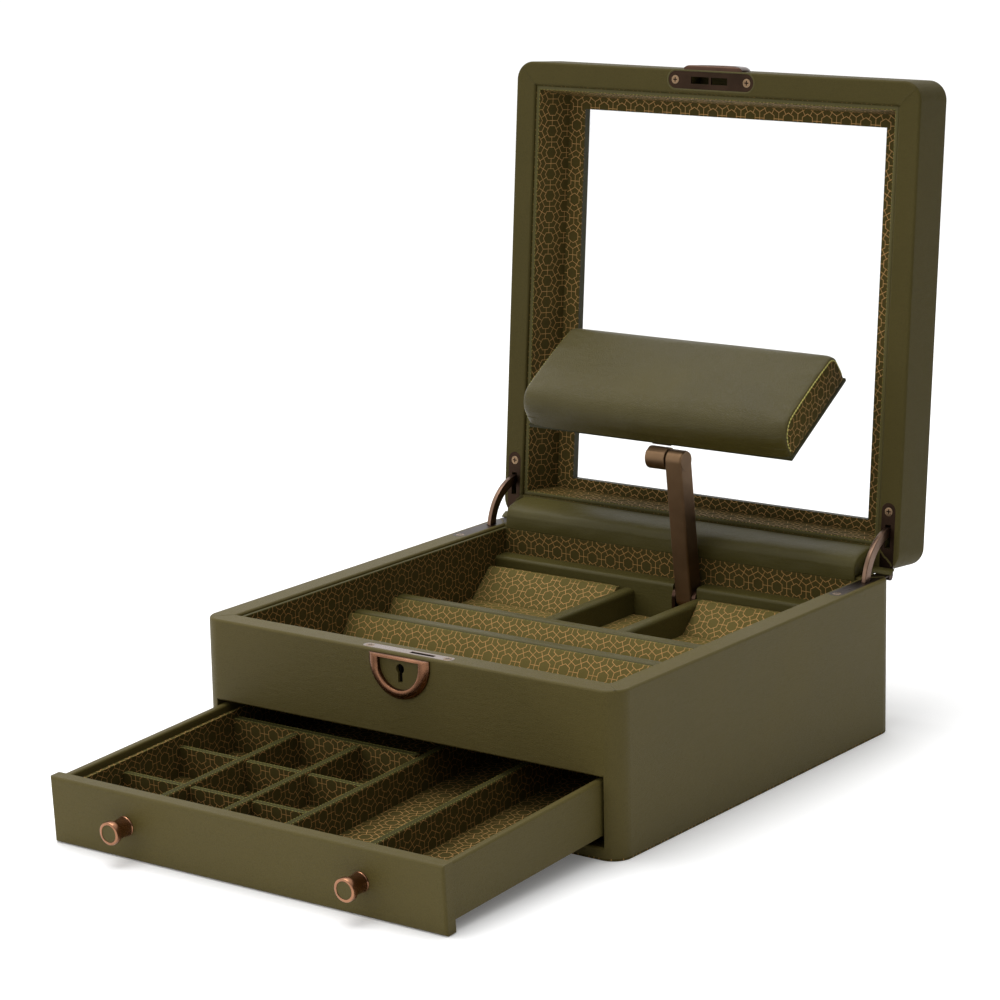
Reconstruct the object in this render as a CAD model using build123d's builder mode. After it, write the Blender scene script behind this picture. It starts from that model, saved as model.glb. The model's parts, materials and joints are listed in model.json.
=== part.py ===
from build123d import *
import os
from math import atan2, cos, degrees, hypot, radians, sin

os.makedirs("parts", exist_ok=True)

# Case: a square leather-covered box with a glazed lid
case_side = 300.0
case_height = 98.0
corner_radius = 12.0
rim_width = 15.0
lower_wall = 10.0
rim_edge_radius = 1.6
cover_thickness = 1.5
cover_edge = 0.7
base_thickness = 5.0
deck_thickness = 4.5
pad_thickness = 1.0
board_thickness = 2.5
board_drop = 2.0
screw_fit = 0.02
part_fit = 0.05

# Drawer opening in the front wall, as wide as the hollow behind it
opening_bottom = 7.5
opening_top = 48.2
deck_gap = 2.8
mouth_edge = 0.9

half_side = case_side / 2
half_upper = half_side - rim_width
half_lower = half_side - lower_wall
half_tray = half_upper - board_thickness
opening_half = half_lower
deck_bottom = opening_top + deck_gap
deck_top = deck_bottom + deck_thickness
floor_top = deck_top + pad_thickness
board_top = case_height - board_drop

# Tray dividers
slab_top = case_height - 22.0
side_divider_top = case_height - 25.5
divider_width = 9.0
divider_round = 2.6
groove_width = 2.6
groove_floor = slab_top - 3.5
lip_drop = 0.2
front_divider_y = -28.0
rear_divider_y = 15.6
front_wedge_foot = front_divider_y - 16.3
rear_wedge_foot = rear_divider_y - 16.1
wedge_run = 12.1
inner_divider_x = 22.5
ledge_depth = 11.9
ledge_y = half_tray - ledge_depth
ledge_top = case_height - 18.2
ledge_round = 2.4
side_groove_width = 3.4
side_groove_depth = 3.5
side_wedge_foot = ledge_y - 26.1
side_wedge_y = ledge_y - 7.5
side_wedge_top = case_height - 24.0

# Hinges and stays of the lid
lid_open_angle = 94.82
lid_gap = 0.3
hinge_y = half_side + 2.2
hinge_z = case_height - 1.35
knuckle_radius = 2.4
knuckle_fit = 0.3
knuckle_inset = (12.8, 10.5, 5.5, 3.2)
knuckle_x = [half_side - inset for inset in knuckle_inset]
hinge_pin_radius = 1.2
leaf_thickness = 1.0
leaf_front_y = half_side - 59.5
leaf_stop_y = half_side - 0.6
lid_leaf_front_y = half_side - 43.0
leaf_screw_y = leaf_front_y + 5.0
lid_leaf_screw_y = lid_leaf_front_y + 5.5
leaf_half_width = (knuckle_x[3] - knuckle_x[0]) / 2
leaf_x = (knuckle_x[0] + knuckle_x[3]) / 2
stay_centre = (half_side + 10.0, case_height - 4.8)
stay_radii = (27.5, 33.5)
stay_angles = (90.0, 176.0)
stay_thickness = 3.0
stay_pocket_half = stay_thickness / 2 + 0.3
stay_pocket_y = (half_side - 24.2, half_side - 1.4)
stay_pocket_floor = case_height - 36.0
stay_slot_y = (half_side - 24.2, half_side - 16.0)
lid_stay_slot_y = (half_side - 29.2, half_side - 14.6)
lid_stay_pocket = 8.2

# Leather strip over the gap behind the hinge: offsets back and up from the tray's back lining and the rim
gusset_outer = ((0.0, 6.0), (2.1, 11.2), (7.5, 13.3), (14.5, 14.8), (21.8, 15.6))
gusset_inner = ((21.6, 13.2), (14.7, 12.4), (8.5, 11.0), (4.1, 9.2))
gusset_inner_rise = 5.6
gusset_side_gap = 1.5

# Lid
lid_depth = 33.4
glass_bottom = 32.0
glass_thickness = 1.2
glass_lap = 6.0
frame_bottom = 26.8
flange_bottom = 26.0
lid_lining_start = 1.8
lining_edge = 3.0
lining_foot_x = half_upper - 10.0
lining_foot_y = (-half_upper + 7.0, half_upper - 4.0)
hole_x = half_upper - 22.0
hole_y = (-half_upper + 15.0, half_upper - 11.0)

# Lock: the hook turns with the key's cylinder
skin_thickness = 2.0
lock_y = (-half_side + skin_thickness, -half_side + skin_thickness + 7.0)
lock_x = (-20.0, 26.0)
lock_bottom = case_height - 28.0
plate_x = (-30.0, 34.5)
plate_screw_x = (plate_x[0] + 4.3, plate_x[1] - 4.3)
plate_slot_x = (4.0, 21.0)
plate_thickness = 1.0
hook_radii = (12.0, 14.4)
hook_angles = (-65.0, 25.0)
hook_arm_angle = -40.0
hook_arm_width = 3.0
hook_y = (lock_y[0] + 2.6, lock_y[0] + 4.6)
hook_fit = 0.6
lock_screw_y = (lock_y[0] + lock_y[1]) / 2
plate_round = (lock_y[1] - lock_y[0]) / 2 - 0.01
key_z = case_height - 9.3
key_radius = 4.5
key_depth = 2.2
key_slot = (1.4, 6.0)
keyhole_radius = 2.9
keyhole_width = 3.2
keyhole_drop = 8.0
ring_half = 21.5
ring_inner_half = 14.7
ring_foot = case_height - 27.0
ring_inner_foot = case_height - 21.5
ring_top = case_height - 1.8
ring_bar = 1.8
ring_height = 2.8
ring_edge = 0.85
lid_ring_top = 2.0
lid_ring_foot = 27.0
lid_ring_inner_foot = 21.5
strike_half = 31.5
strike_y = (-half_side + 1.0, -half_side + 12.0)
strike_thickness = 1.2
strike_slots = ((-14.5, -1.5), (0.4, 12.2))
strike_slot_y = (hook_y[0] - 0.3, hook_y[1] + 2.1)
strike_pocket = 11.0
strike_screw_x = strike_half - 5.0
strike_screw_y = (strike_y[0] + strike_y[1]) / 2
strike_round = (strike_y[1] - strike_y[0]) / 2 - 0.01

# Folding stand: arm, barrel and cushion
arm_x = (10.0, 22.0)
arm_gap = 0.2
cheek_thickness = 2.5
cheek_radius = 6.2
notch_gap = 0.2
bracket_x = (arm_x[0] - arm_gap - cheek_thickness, arm_x[1] + arm_gap + cheek_thickness)
notch_x = (bracket_x[0] - notch_gap, bracket_x[1] + notch_gap)
arm_pivot = (half_tray - 7.5, deck_top + 15.8)
arm_head = (arm_pivot[0] - 10.8, arm_pivot[1] + 91.05)
arm_depth = 13.0
arm_length = hypot(arm_head[0] - arm_pivot[0], arm_head[1] - arm_pivot[1])
arm_lean = degrees(atan2(arm_head[1] - arm_pivot[1], arm_head[0] - arm_pivot[0]))
arm_pin_radius = 2.0
head_pin_radius = 3.0
head_disc_radius = 6.0
barrel_radius = 7.2
barrel_x = (arm_x[0] - arm_gap - 14.2, arm_x[0] - arm_gap)
barrel_middle = (barrel_x[0] + barrel_x[1]) / 2
tongue_thickness = 1.2
tongue_end = 44.0
tongue_screws = (20.0, 36.0)
cushion_corner = (arm_head[0] - 0.3, arm_head[1] + 7.9)
cushion_tilt = 31.3
cushion_half = 98.0
cushion_end = 1.2
cushion_front = 1.4
cushion_back = 76.6
cushion_top = 25.2
cushion_crown = 1.4
cushion_slim = 0.5
cushion_end_slim = 0.6
cushion_round = 8.0
cushion_waist = 9.0
cushion_board_top = 2.8

# Drawer, stored pulled out with its front resting on the table
drawer_tilt = 3.0
drawer_travel = 142.6
drawer_gap = 2.0
drawer_front_y = -half_side - drawer_travel
drawer_front_z = 0.3
drawer_closed = (-half_side, opening_bottom + 0.6)
drawer_front_half = opening_half - 0.5
drawer_front_height = opening_top - opening_bottom - 1.3
drawer_front_thickness = 8.0
drawer_front_edge = 1.8
drawer_half = opening_half - drawer_gap
drawer_wall = 5.0
drawer_bottom_z = 6.2
drawer_bottom_thickness = 2.5
drawer_side_top = drawer_front_height - 1.4
drawer_back_top = drawer_side_top - 2.0
drawer_length = 236.0
drawer_lining_top = drawer_side_top - 4.0
drawer_lining_gap = 4.0
drawer_groove = 1.5
drawer_groove_depth = 4.0
drawer_floor_top = 9.5
divider_top = drawer_lining_top - 5.0
grid_top = drawer_lining_top - 4.0
cell_top = drawer_lining_top - 6.5
long_divider_x = (-83.0, -37.0, 8.0, 67.0)
long_divider_width = 5.0
cell_divider_y = (50.0, 98.5)
cell_divider_width = 4.0
grid_y = (145.5, 150.5)
guide_pin = (drawer_length - 8.0, 22.0)
guide_pin_radius = 2.5
groove_depth = 2.6
knob_x = 83.5
knob_z = 19.8
knob_reach = 14.0
knob_radius = 6.8
knob_neck = (3.4, 4.0)
knob_head_start = 10.0
knob_recess_radius = 5.0
knob_recess = 1.2
knob_bore = 2.0

# Screws
head_radius = 2.6
head_height = 0.9
shank_radius = 1.1
shank_length = 7.0
cross_size = (3.0, 0.7)

lid_turn = radians(lid_open_angle)
lid_y = hinge_y - hinge_y * cos(lid_turn) + (case_height + lid_gap - hinge_z) * sin(lid_turn)
lid_z = hinge_z + hinge_y * sin(lid_turn) + (case_height + lid_gap - hinge_z) * cos(lid_turn)
lid_plane = Plane(origin=(0, lid_y, lid_z), x_dir=(1, 0, 0), z_dir=(0, sin(lid_turn), cos(lid_turn)))
drawer_turn = radians(drawer_tilt)
drawer_plane = Plane(
    origin=(0, drawer_front_y, drawer_front_z), x_dir=(1, 0, 0), z_dir=(0, -sin(drawer_turn), cos(drawer_turn))
)
cushion_turn = radians(cushion_tilt)
cushion_plane = Plane(
    origin=(0, cushion_corner[0], cushion_corner[1]),
    x_dir=(1, 0, 0),
    z_dir=(0, -sin(cushion_turn), cos(cushion_turn)),
)


# A plane standing across x on any base plane: its own x runs back and its own y runs up
def across(plane, x):
    return Plane(origin=plane.from_local_coords((x, 0, 0)), x_dir=plane.y_dir, z_dir=plane.x_dir)


# A plane facing forward on any base plane at the given y: its own x runs right and its own y runs up
def facing(plane, y):
    return Plane(origin=plane.from_local_coords((0, y, 0)), x_dir=plane.x_dir, z_dir=-plane.y_dir)


# A box between limits in the frame of the open part builder
def block(x, y, z, mode=Mode.ADD):
    with Locations(((x[0] + x[1]) / 2, (y[0] + y[1]) / 2, (z[0] + z[1]) / 2)):
        Box(x[1] - x[0], y[1] - y[0], z[1] - z[0], mode=mode)


# A profile of (back, up) points run along x between two limits
def bar(plane, points, x, mode=Mode.ADD):
    with BuildSketch(across(plane, x[0])) as section:
        with BuildLine():
            Polyline(*points, close=True)
        make_face()
    extrude(section.sketch, amount=x[1] - x[0], mode=mode)


# A round rod along x with its axis at (back, up)
def rod(plane, centre, radius, x, mode=Mode.ADD):
    with BuildSketch(across(plane, x[0])) as section:
        with Locations(centre):
            Circle(radius)
    extrude(section.sketch, amount=x[1] - x[0], mode=mode)


# A flat plate with round ends lying on a base plane
def rounded_plate(plane, x, y, z, radius, mode=Mode.ADD):
    with BuildSketch(plane.offset(z[0])) as section:
        with Locations(((x[0] + x[1]) / 2, (y[0] + y[1]) / 2)):
            RectangleRounded(x[1] - x[0], y[1] - y[0], radius)
    extrude(section.sketch, amount=z[1] - z[0], mode=mode)


# Edges whose middle lies at a given height above a base plane
def at_height(plane, z):
    return lambda edge: abs(plane.to_local_coords(edge.center()).Z - z) < 0.02


# Edges that run along x and lie near a (back, up) point
def along_x(plane, back, up):
    def near(edge):
        spot = plane.to_local_coords(edge.center())
        level = abs((edge.tangent_at(0.5)).dot(plane.x_dir)) > 0.99
        return level and abs(spot.Y - back) < 0.05 and abs(spot.Z - up) < 0.05

    return near


# Rounded outer block of the case or the lid, hollowed to the rim width
def hollow_ring(plane, bottom, top, round_bottom, round_top):
    with BuildSketch(plane.offset(bottom)) as section:
        RectangleRounded(case_side, case_side, corner_radius)
    extrude(section.sketch, amount=top - bottom)
    block((-half_upper, half_upper), (-half_upper, half_upper), (bottom, top), Mode.SUBTRACT)
    if round_bottom:
        fillet(edges().filter_by(at_height(plane, bottom)), rim_edge_radius)
    if round_top:
        fillet(edges().filter_by(at_height(plane, top)), rim_edge_radius)


# Keep the quarter of a ring that one mitred wall takes
def keep_quarter(plane, turn, bottom, top):
    reach = case_side
    with BuildSketch(plane.offset(bottom)) as section:
        with Locations(Location((0, 0, 0), (0, 0, turn))):
            Polygon((0, 0), (-reach, -reach), (reach, -reach), align=None)
    extrude(section.sketch, amount=top - bottom, mode=Mode.INTERSECT)


# Hollow for the stay inside the walls, and the notch round the hinge knuckles
def hinge_cuts(side):
    leaf_limits = sorted((side * knuckle_x[0], side * knuckle_x[3]))
    pocket = sorted((side * (leaf_x - stay_pocket_half), side * (leaf_x + stay_pocket_half)))
    rounded_plate(
        Plane.XY,
        leaf_limits,
        (leaf_front_y, half_side + 8),
        (case_height - leaf_thickness, case_height + 1),
        leaf_half_width - 0.01,
        Mode.SUBTRACT,
    )
    block(pocket, stay_pocket_y, (stay_pocket_floor, case_height), Mode.SUBTRACT)
    notch = sorted((side * (knuckle_x[0] - knuckle_fit), side * (knuckle_x[3] + knuckle_fit)))
    rod(Plane.XY, (hinge_y, hinge_z), knuckle_radius + knuckle_fit, notch, Mode.SUBTRACT)
    with Locations((side * leaf_x, leaf_screw_y, case_height - shank_length)):
        Cylinder(shank_radius + screw_fit, 2 * shank_length, mode=Mode.SUBTRACT)


# The slope that the drawer's guide pins follow in the side walls
def guide_line():
    back = drawer_front_y + guide_pin[0] * cos(drawer_turn) - guide_pin[1] * sin(drawer_turn)
    up = drawer_front_z + guide_pin[0] * sin(drawer_turn) + guide_pin[1] * cos(drawer_turn)
    return (back, up), (drawer_closed[0] + guide_pin[0], drawer_closed[1] + guide_pin[1])


# Sloping groove for a guide pin in the inner face of one side wall
def guide_groove(side):
    start, end = guide_line()
    run = hypot(end[0] - start[0], end[1] - start[1])
    slope = degrees(atan2(end[1] - start[1], end[0] - start[0]))
    low = half_lower if side > 0 else -half_lower - groove_depth
    with BuildSketch(across(Plane.XY, low)) as section:
        with Locations(Location(((start[0] + end[0]) / 2, (start[1] + end[1]) / 2, 0), (0, 0, slope))):
            SlotCenterToCenter(run, 2 * guide_pin_radius + 0.4)
    extrude(section.sketch, amount=groove_depth, mode=Mode.SUBTRACT)


# Everything the four case walls share
def case_wall(turn):
    hollow_ring(Plane.XY, cover_thickness, case_height, False, True)
    block((-half_lower, half_lower), (-half_lower, half_lower), (cover_thickness, deck_bottom), Mode.SUBTRACT)
    keep_quarter(Plane.XY, turn, cover_thickness, case_height)


with BuildPart() as case_front:
    case_wall(0)
    skin = (-half_side - 1, -half_lower + 1)
    block((-opening_half, opening_half), skin, (opening_bottom, opening_top), Mode.SUBTRACT)
    # leather turned round the edges of the opening
    mouth = [
        edge
        for edge in case_front.edges()
        if abs(edge.center().Y + half_side) < 0.02
        and opening_bottom - 0.1 < edge.center().Z < opening_top + 0.1
        and abs(edge.center().X) < opening_half + 0.1
    ]
    chamfer(mouth, mouth_edge)
    # mortise for the lock and recess for its plate
    block(lock_x, lock_y, (lock_bottom, case_height), Mode.SUBTRACT)
    recess = (case_height - plate_thickness, case_height + 1)
    rounded_plate(Plane.XY, plate_x, lock_y, recess, plate_round, Mode.SUBTRACT)
    # keyhole through the front skin
    with BuildSketch(facing(Plane.XY, -half_side - 1)):
        with Locations((0, key_z)):
            Circle(keyhole_radius)
        with Locations((0, key_z - keyhole_drop / 2)):
            Rectangle(keyhole_width, keyhole_drop)
    extrude(amount=-skin_thickness - 1, mode=Mode.SUBTRACT)
    for x in plate_screw_x:
        with Locations((x, lock_screw_y, case_height - shank_length)):
            Cylinder(shank_radius + screw_fit, 2 * shank_length, mode=Mode.SUBTRACT)
case_front.part.label = "case_front"
export_step(case_front.part, "parts/case_front.step")

with BuildPart() as case_right:
    case_wall(90)
    hinge_cuts(1)
    guide_groove(1)
case_right.part.label = "case_right"
export_step(case_right.part, "parts/case_right.step")

with BuildPart() as case_left:
    case_wall(270)
    hinge_cuts(-1)
    guide_groove(-1)
case_left.part.label = "case_left"
export_step(case_left.part, "parts/case_left.step")

with BuildPart() as case_back:
    case_wall(180)
    hinge_cuts(1)
    hinge_cuts(-1)
case_back.part.label = "case_back"
export_step(case_back.part, "parts/case_back.step")

# Base of the case
with BuildPart() as base_panel:
    level = (cover_thickness, cover_thickness + base_thickness)
    block((-half_lower, half_lower), (-half_lower, half_lower), level)
base_panel.part.label = "base_panel"
export_step(base_panel.part, "parts/base_panel.step")

with BuildPart() as base_cover:
    with BuildSketch():
        RectangleRounded(case_side, case_side, corner_radius)
    extrude(amount=cover_thickness)
    fillet(edges().filter_by(at_height(Plane.XY, 0)), cover_edge)
base_cover.part.label = "base_cover"
export_step(base_cover.part, "parts/base_cover.step")

# Tray deck and the fabric boards round it
with BuildPart() as tray_deck:
    block((-half_upper, half_upper), (-half_upper, half_upper), (deck_bottom, deck_top))
tray_deck.part.label = "tray_deck"
export_step(tray_deck.part, "parts/tray_deck.step")

with BuildPart() as tray_linings:
    block((-half_upper, half_upper), (-half_upper, -half_tray), (deck_top, board_top))
    block((-half_upper, half_upper), (half_tray, half_upper), (deck_top, board_top))
    for side in (-1, 1):
        limits = sorted((side * half_tray, side * half_upper))
        block(limits, (-half_tray + part_fit, half_tray - part_fit), (deck_top, board_top))
    fillet(edges().filter_by(at_height(Plane.XY, board_top)), 0.6)
tray_linings.part.label = "tray_linings"
export_step(tray_linings.part, "parts/tray_linings.step")

front_divider_back = front_divider_y + divider_width
rear_divider_back = rear_divider_y + divider_width
side_divider_x = inner_divider_x + divider_width
with BuildPart() as floor_pads:
    level = (deck_top, floor_top)
    wide = (-half_tray, half_tray)
    block(wide, (-half_tray, front_wedge_foot), level)
    block(wide, (front_divider_back, rear_wedge_foot), level)
    block((-inner_divider_x, inner_divider_x), (rear_divider_back, ledge_y - 2), level)
    for side in (-1, 1):
        block(sorted((side * side_divider_x, side * half_tray)), (rear_divider_back, side_wedge_foot), level)
floor_pads.part.label = "floor_pads"
export_step(floor_pads.part, "parts/floor_pads.step")

# Two cross dividers over the full width, each with a sloping fabric pad before it
with BuildPart() as front_divider:
    block((-half_tray, half_tray), (front_divider_y, front_divider_back), (deck_top, slab_top))
    fillet(edges().filter_by(Axis.X).filter_by(at_height(Plane.XY, slab_top)), divider_round)
front_divider.part.label = "front_divider"
export_step(front_divider.part, "parts/front_divider.step")

with BuildPart() as rear_divider:
    block((-half_tray, half_tray), (rear_divider_y, rear_divider_back), (deck_top, slab_top))
    fillet(edges().filter_by(Axis.X).filter_by(at_height(Plane.XY, slab_top)), divider_round)
rear_divider.part.label = "rear_divider"
export_step(rear_divider.part, "parts/rear_divider.step")


# Sloping pad from its foot to a stitched lip, with a groove before the divider
def wedge_points(foot, divider):
    lip = foot + wedge_run
    return [
        (foot, deck_top),
        (foot, floor_top),
        (lip, slab_top - lip_drop),
        (divider - groove_width, slab_top - lip_drop),
        (divider - groove_width, groove_floor),
        (divider, groove_floor),
        (divider, deck_top),
    ]


with BuildPart() as front_wedge_pad:
    bar(Plane.XY, wedge_points(front_wedge_foot, front_divider_y), (-half_tray, half_tray))
front_wedge_pad.part.label = "front_wedge_pad"
export_step(front_wedge_pad.part, "parts/front_wedge_pad.step")

with BuildPart() as rear_wedge_pad:
    bar(Plane.XY, wedge_points(rear_wedge_foot, rear_divider_y), (-half_tray, half_tray))
rear_wedge_pad.part.label = "rear_wedge_pad"
export_step(rear_wedge_pad.part, "parts/rear_wedge_pad.step")

# Dividers either side of the middle compartment
with BuildPart() as side_dividers:
    for side in (-1, 1):
        limits = sorted((side * inner_divider_x, side * side_divider_x))
        block(limits, (rear_divider_back, ledge_y), (deck_top, side_divider_top))
    fillet(edges().filter_by(Axis.Y).filter_by(at_height(Plane.XY, side_divider_top)), divider_round)
    # room for the arm's bracket
    block(notch_x, (ledge_y - 2, ledge_y), (deck_top, slab_top), Mode.SUBTRACT)
side_dividers.part.label = "side_dividers"
export_step(side_dividers.part, "parts/side_dividers.step")

with BuildPart() as side_wedge_pads:
    points = [
        (side_wedge_foot, deck_top),
        (side_wedge_foot, floor_top),
        (side_wedge_y, side_wedge_top),
        (ledge_y - side_groove_width, side_wedge_top),
        (ledge_y - side_groove_width, side_wedge_top - side_groove_depth),
        (ledge_y, side_wedge_top - side_groove_depth),
        (ledge_y, deck_top),
    ]
    bar(Plane.XY, points, (side_divider_x, half_tray))
    bar(Plane.XY, points, (-half_tray, -side_divider_x))
side_wedge_pads.part.label = "side_wedge_pads"
export_step(side_wedge_pads.part, "parts/side_wedge_pads.step")

# Leather step at the back of the tray, notched for the arm
with BuildPart() as ledge:
    block((-half_tray, half_tray), (ledge_y, half_tray), (deck_top, ledge_top))
    fillet(edges().filter_by(along_x(Plane.XY, ledge_y, ledge_top)), ledge_round)
    block(notch_x, (ledge_y - 1, half_tray + 1), (deck_top - 1, ledge_top + 1), Mode.SUBTRACT)
ledge.part.label = "ledge"
export_step(ledge.part, "parts/ledge.step")

# Padded leather strip that covers the gap between the case and the lid
gusset_front = [(half_tray + back, case_height + up) for back, up in gusset_outer]
gusset_rear = [(half_tray + back, case_height + up) for back, up in gusset_inner]
gusset_root = (half_upper, case_height + gusset_inner_rise)
with BuildPart() as hinge_gusset:
    with BuildSketch(across(Plane.XY, -half_tray + gusset_side_gap)):
        with BuildLine():
            Line((half_tray, board_top), gusset_front[0])
            ThreePointArc(gusset_front[0], gusset_front[1], gusset_front[2])
            Polyline(*gusset_front[2:], *gusset_rear[:3])
            ThreePointArc(gusset_rear[2], gusset_rear[3], gusset_root)
            Polyline(gusset_root, (half_upper, board_top), (half_tray, board_top))
        make_face()
    extrude(amount=2 * (half_tray - gusset_side_gap))
hinge_gusset.part.label = "hinge_gusset"
export_step(hinge_gusset.part, "parts/hinge_gusset.step")

# Hinge leaves let into the rim of the case, with the middle knuckle and the stay's slot
with BuildPart() as case_hinge_leaves:
    for side in (-1, 1):
        limits = sorted((side * knuckle_x[0], side * knuckle_x[3]))
        middle = sorted((side * knuckle_x[1], side * knuckle_x[2]))
        slot = sorted((side * (leaf_x - stay_pocket_half), side * (leaf_x + stay_pocket_half)))
        level = (case_height - leaf_thickness, case_height)
        rounded_plate(Plane.XY, limits, (leaf_front_y, leaf_stop_y + 12), level, leaf_half_width - 0.01)
        block(limits, (leaf_stop_y, leaf_stop_y + 13), level, Mode.SUBTRACT)
        block(middle, (leaf_stop_y - 1, hinge_y), level)
        rod(Plane.XY, (hinge_y, hinge_z), knuckle_radius, middle)
        rod(Plane.XY, (hinge_y, hinge_z), hinge_pin_radius + part_fit, middle, Mode.SUBTRACT)
        block(slot, stay_slot_y, (level[0] - 1, level[1] + 1), Mode.SUBTRACT)
        with Locations((side * leaf_x, leaf_screw_y, case_height)):
            Cylinder(head_radius + part_fit, 3 * leaf_thickness, mode=Mode.SUBTRACT)
case_hinge_leaves.part.label = "case_hinge_leaves"
export_step(case_hinge_leaves.part, "parts/case_hinge_leaves.step")


# A countersunk screw standing on a base plane, its head's top at the given height
def screw(plane, x, y, top, down):
    outward = 1 if down else -1
    with BuildSketch(plane.offset(top)) as head:
        with Locations((x, y)):
            Circle(head_radius)
    extrude(head.sketch, amount=-outward * head_height)
    with BuildSketch(plane.offset(top - outward * head_height)) as shank:
        with Locations((x, y)):
            Circle(shank_radius)
    extrude(shank.sketch, amount=-outward * (shank_length - 1))
    with BuildSketch(plane.offset(top)) as cross:
        with Locations((x, y)):
            Rectangle(cross_size[0], cross_size[1])
            Rectangle(cross_size[1], cross_size[0])
    extrude(cross.sketch, amount=-outward * 0.4, mode=Mode.SUBTRACT)


with BuildPart() as case_screws:
    for x in (-leaf_x, leaf_x):
        screw(Plane.XY, x, leaf_screw_y, case_height, True)
    for x in plate_screw_x:
        screw(Plane.XY, x, lock_screw_y, case_height, True)
case_screws.part.label = "case_screws"
export_step(case_screws.part, "parts/case_screws.step")

# Lock: a hollow body in the front wall, its plate, and the cylinder and hook that turn together
hook_reach = hook_radii[1] + hook_fit
with BuildPart() as lock_body:
    block(lock_x, lock_y, (lock_bottom, case_height - plate_thickness))
    level = (key_z - hook_reach, case_height)
    block((-hook_reach, hook_reach), (lock_y[0] + key_depth - 0.1, hook_y[1] + 0.3), level, Mode.SUBTRACT)
    with BuildSketch(facing(Plane.XY, lock_y[0])):
        with Locations((0, key_z)):
            Circle(key_radius + part_fit)
    extrude(amount=-key_depth - 0.1, mode=Mode.SUBTRACT)
    for x in plate_screw_x:
        with Locations((x, lock_screw_y, case_height - shank_length)):
            Cylinder(shank_radius + screw_fit, 2 * shank_length, mode=Mode.SUBTRACT)
lock_body.part.label = "lock_body"
export_step(lock_body.part, "parts/lock_body.step")

with BuildPart() as lock_plate:
    level = (case_height - plate_thickness, case_height)
    rounded_plate(Plane.XY, plate_x, lock_y, level, plate_round)
    slot_y = (hook_y[0] - hook_fit, hook_y[1] + 0.4)
    block(plate_slot_x, slot_y, (case_height - 2, case_height + 1), Mode.SUBTRACT)
    for x in plate_screw_x:
        with Locations((x, lock_screw_y, case_height)):
            Cylinder(head_radius + part_fit, 4 * plate_thickness, mode=Mode.SUBTRACT)
lock_plate.part.label = "lock_plate"
export_step(lock_plate.part, "parts/lock_plate.step")


# Half-oval ring standing on a wall; grow is +1 when its round end points down the sketch's y
def half_ring(plane, flat, foot, inner_flat, inner_foot, grow):
    with BuildSketch(plane) as section:
        with BuildLine():
            Polyline((-ring_half, foot + grow * ring_half), (-ring_half, flat), (ring_half, flat))
            Line((ring_half, flat), (ring_half, foot + grow * ring_half))
            ThreePointArc(
                (ring_half, foot + grow * ring_half), (0, foot), (-ring_half, foot + grow * ring_half)
            )
        make_face()
        with BuildLine():
            knee = inner_foot + grow * ring_inner_half
            Polyline((-ring_inner_half, knee), (-ring_inner_half, inner_flat), (ring_inner_half, inner_flat))
            Line((ring_inner_half, inner_flat), (ring_inner_half, knee))
            ThreePointArc((ring_inner_half, knee), (0, inner_foot), (-ring_inner_half, knee))
        make_face(mode=Mode.SUBTRACT)
    extrude(section.sketch, amount=ring_height)


with BuildPart() as lock_ring:
    half_ring(facing(Plane.XY, -half_side), ring_top, ring_foot, ring_top - ring_bar, ring_inner_foot, 1)
    outer = [edge for edge in lock_ring.edges() if abs(edge.center().Y + half_side + ring_height) < 0.02]
    chamfer(outer, ring_edge)
lock_ring.part.label = "lock_ring"
export_step(lock_ring.part, "parts/lock_ring.step")

with BuildPart() as key_cylinder:
    with BuildSketch(facing(Plane.XY, lock_y[0])):
        with Locations((0, key_z)):
            Circle(key_radius)
            Rectangle(key_slot[0], key_slot[1], mode=Mode.SUBTRACT)
    extrude(amount=-key_depth)
key_cylinder.part.label = "key_cylinder"
export_step(key_cylinder.part, "parts/key_cylinder.step")

# The hook: a sector of a ring on one arm, with a hub against the cylinder's back
with BuildPart() as lock_claw:
    spread = hook_angles[1] - hook_angles[0]
    reach = 2 * hook_radii[1]
    with BuildSketch(facing(Plane.XY, hook_y[0])):
        with Locations((0, key_z)):
            Circle(hook_radii[1])
            Circle(hook_radii[0], mode=Mode.SUBTRACT)
        with Locations(Location((0, key_z, 0), (0, 0, hook_angles[0]))):
            corners = [(0, 0), (reach, 0)]
            for share in (1 / 3, 2 / 3, 1):
                turn = radians(spread * share)
                corners.append((reach * cos(turn), reach * sin(turn)))
            Polygon(*corners, align=None, mode=Mode.INTERSECT)
        with Locations(Location((0, key_z, 0), (0, 0, hook_arm_angle))):
            with Locations(((hook_radii[0] + 1) / 2, 0)):
                Rectangle(hook_radii[0] + 1, hook_arm_width)
        with Locations((0, key_z)):
            Circle(hook_arm_width)
    extrude(amount=hook_y[0] - hook_y[1])
    with BuildSketch(facing(Plane.XY, lock_y[0] + key_depth)):
        with Locations((0, key_z)):
            Circle(hook_arm_width)
    extrude(amount=lock_y[0] + key_depth - hook_y[0])
lock_claw.part.label = "lock_claw"
export_step(lock_claw.part, "parts/lock_claw.step")

# Bracket and pin that carry the stand's arm
with BuildPart() as arm_bracket:
    block(bracket_x, (arm_pivot[0] - cheek_radius, half_tray - 0.3), (deck_top, deck_top + 2))
    for x in (bracket_x[0], bracket_x[1] - cheek_thickness):
        rise = arm_pivot[1] - deck_top
        with BuildSketch(across(Plane.XY, x)):
            with Locations((arm_pivot[0], deck_top + rise / 2)):
                Rectangle(2 * cheek_radius, rise)
            with Locations(arm_pivot):
                Circle(cheek_radius)
        extrude(amount=cheek_thickness)
    rod(Plane.XY, arm_pivot, arm_pin_radius + screw_fit, bracket_x, Mode.SUBTRACT)
arm_bracket.part.label = "arm_bracket"
export_step(arm_bracket.part, "parts/arm_bracket.step")

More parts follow.
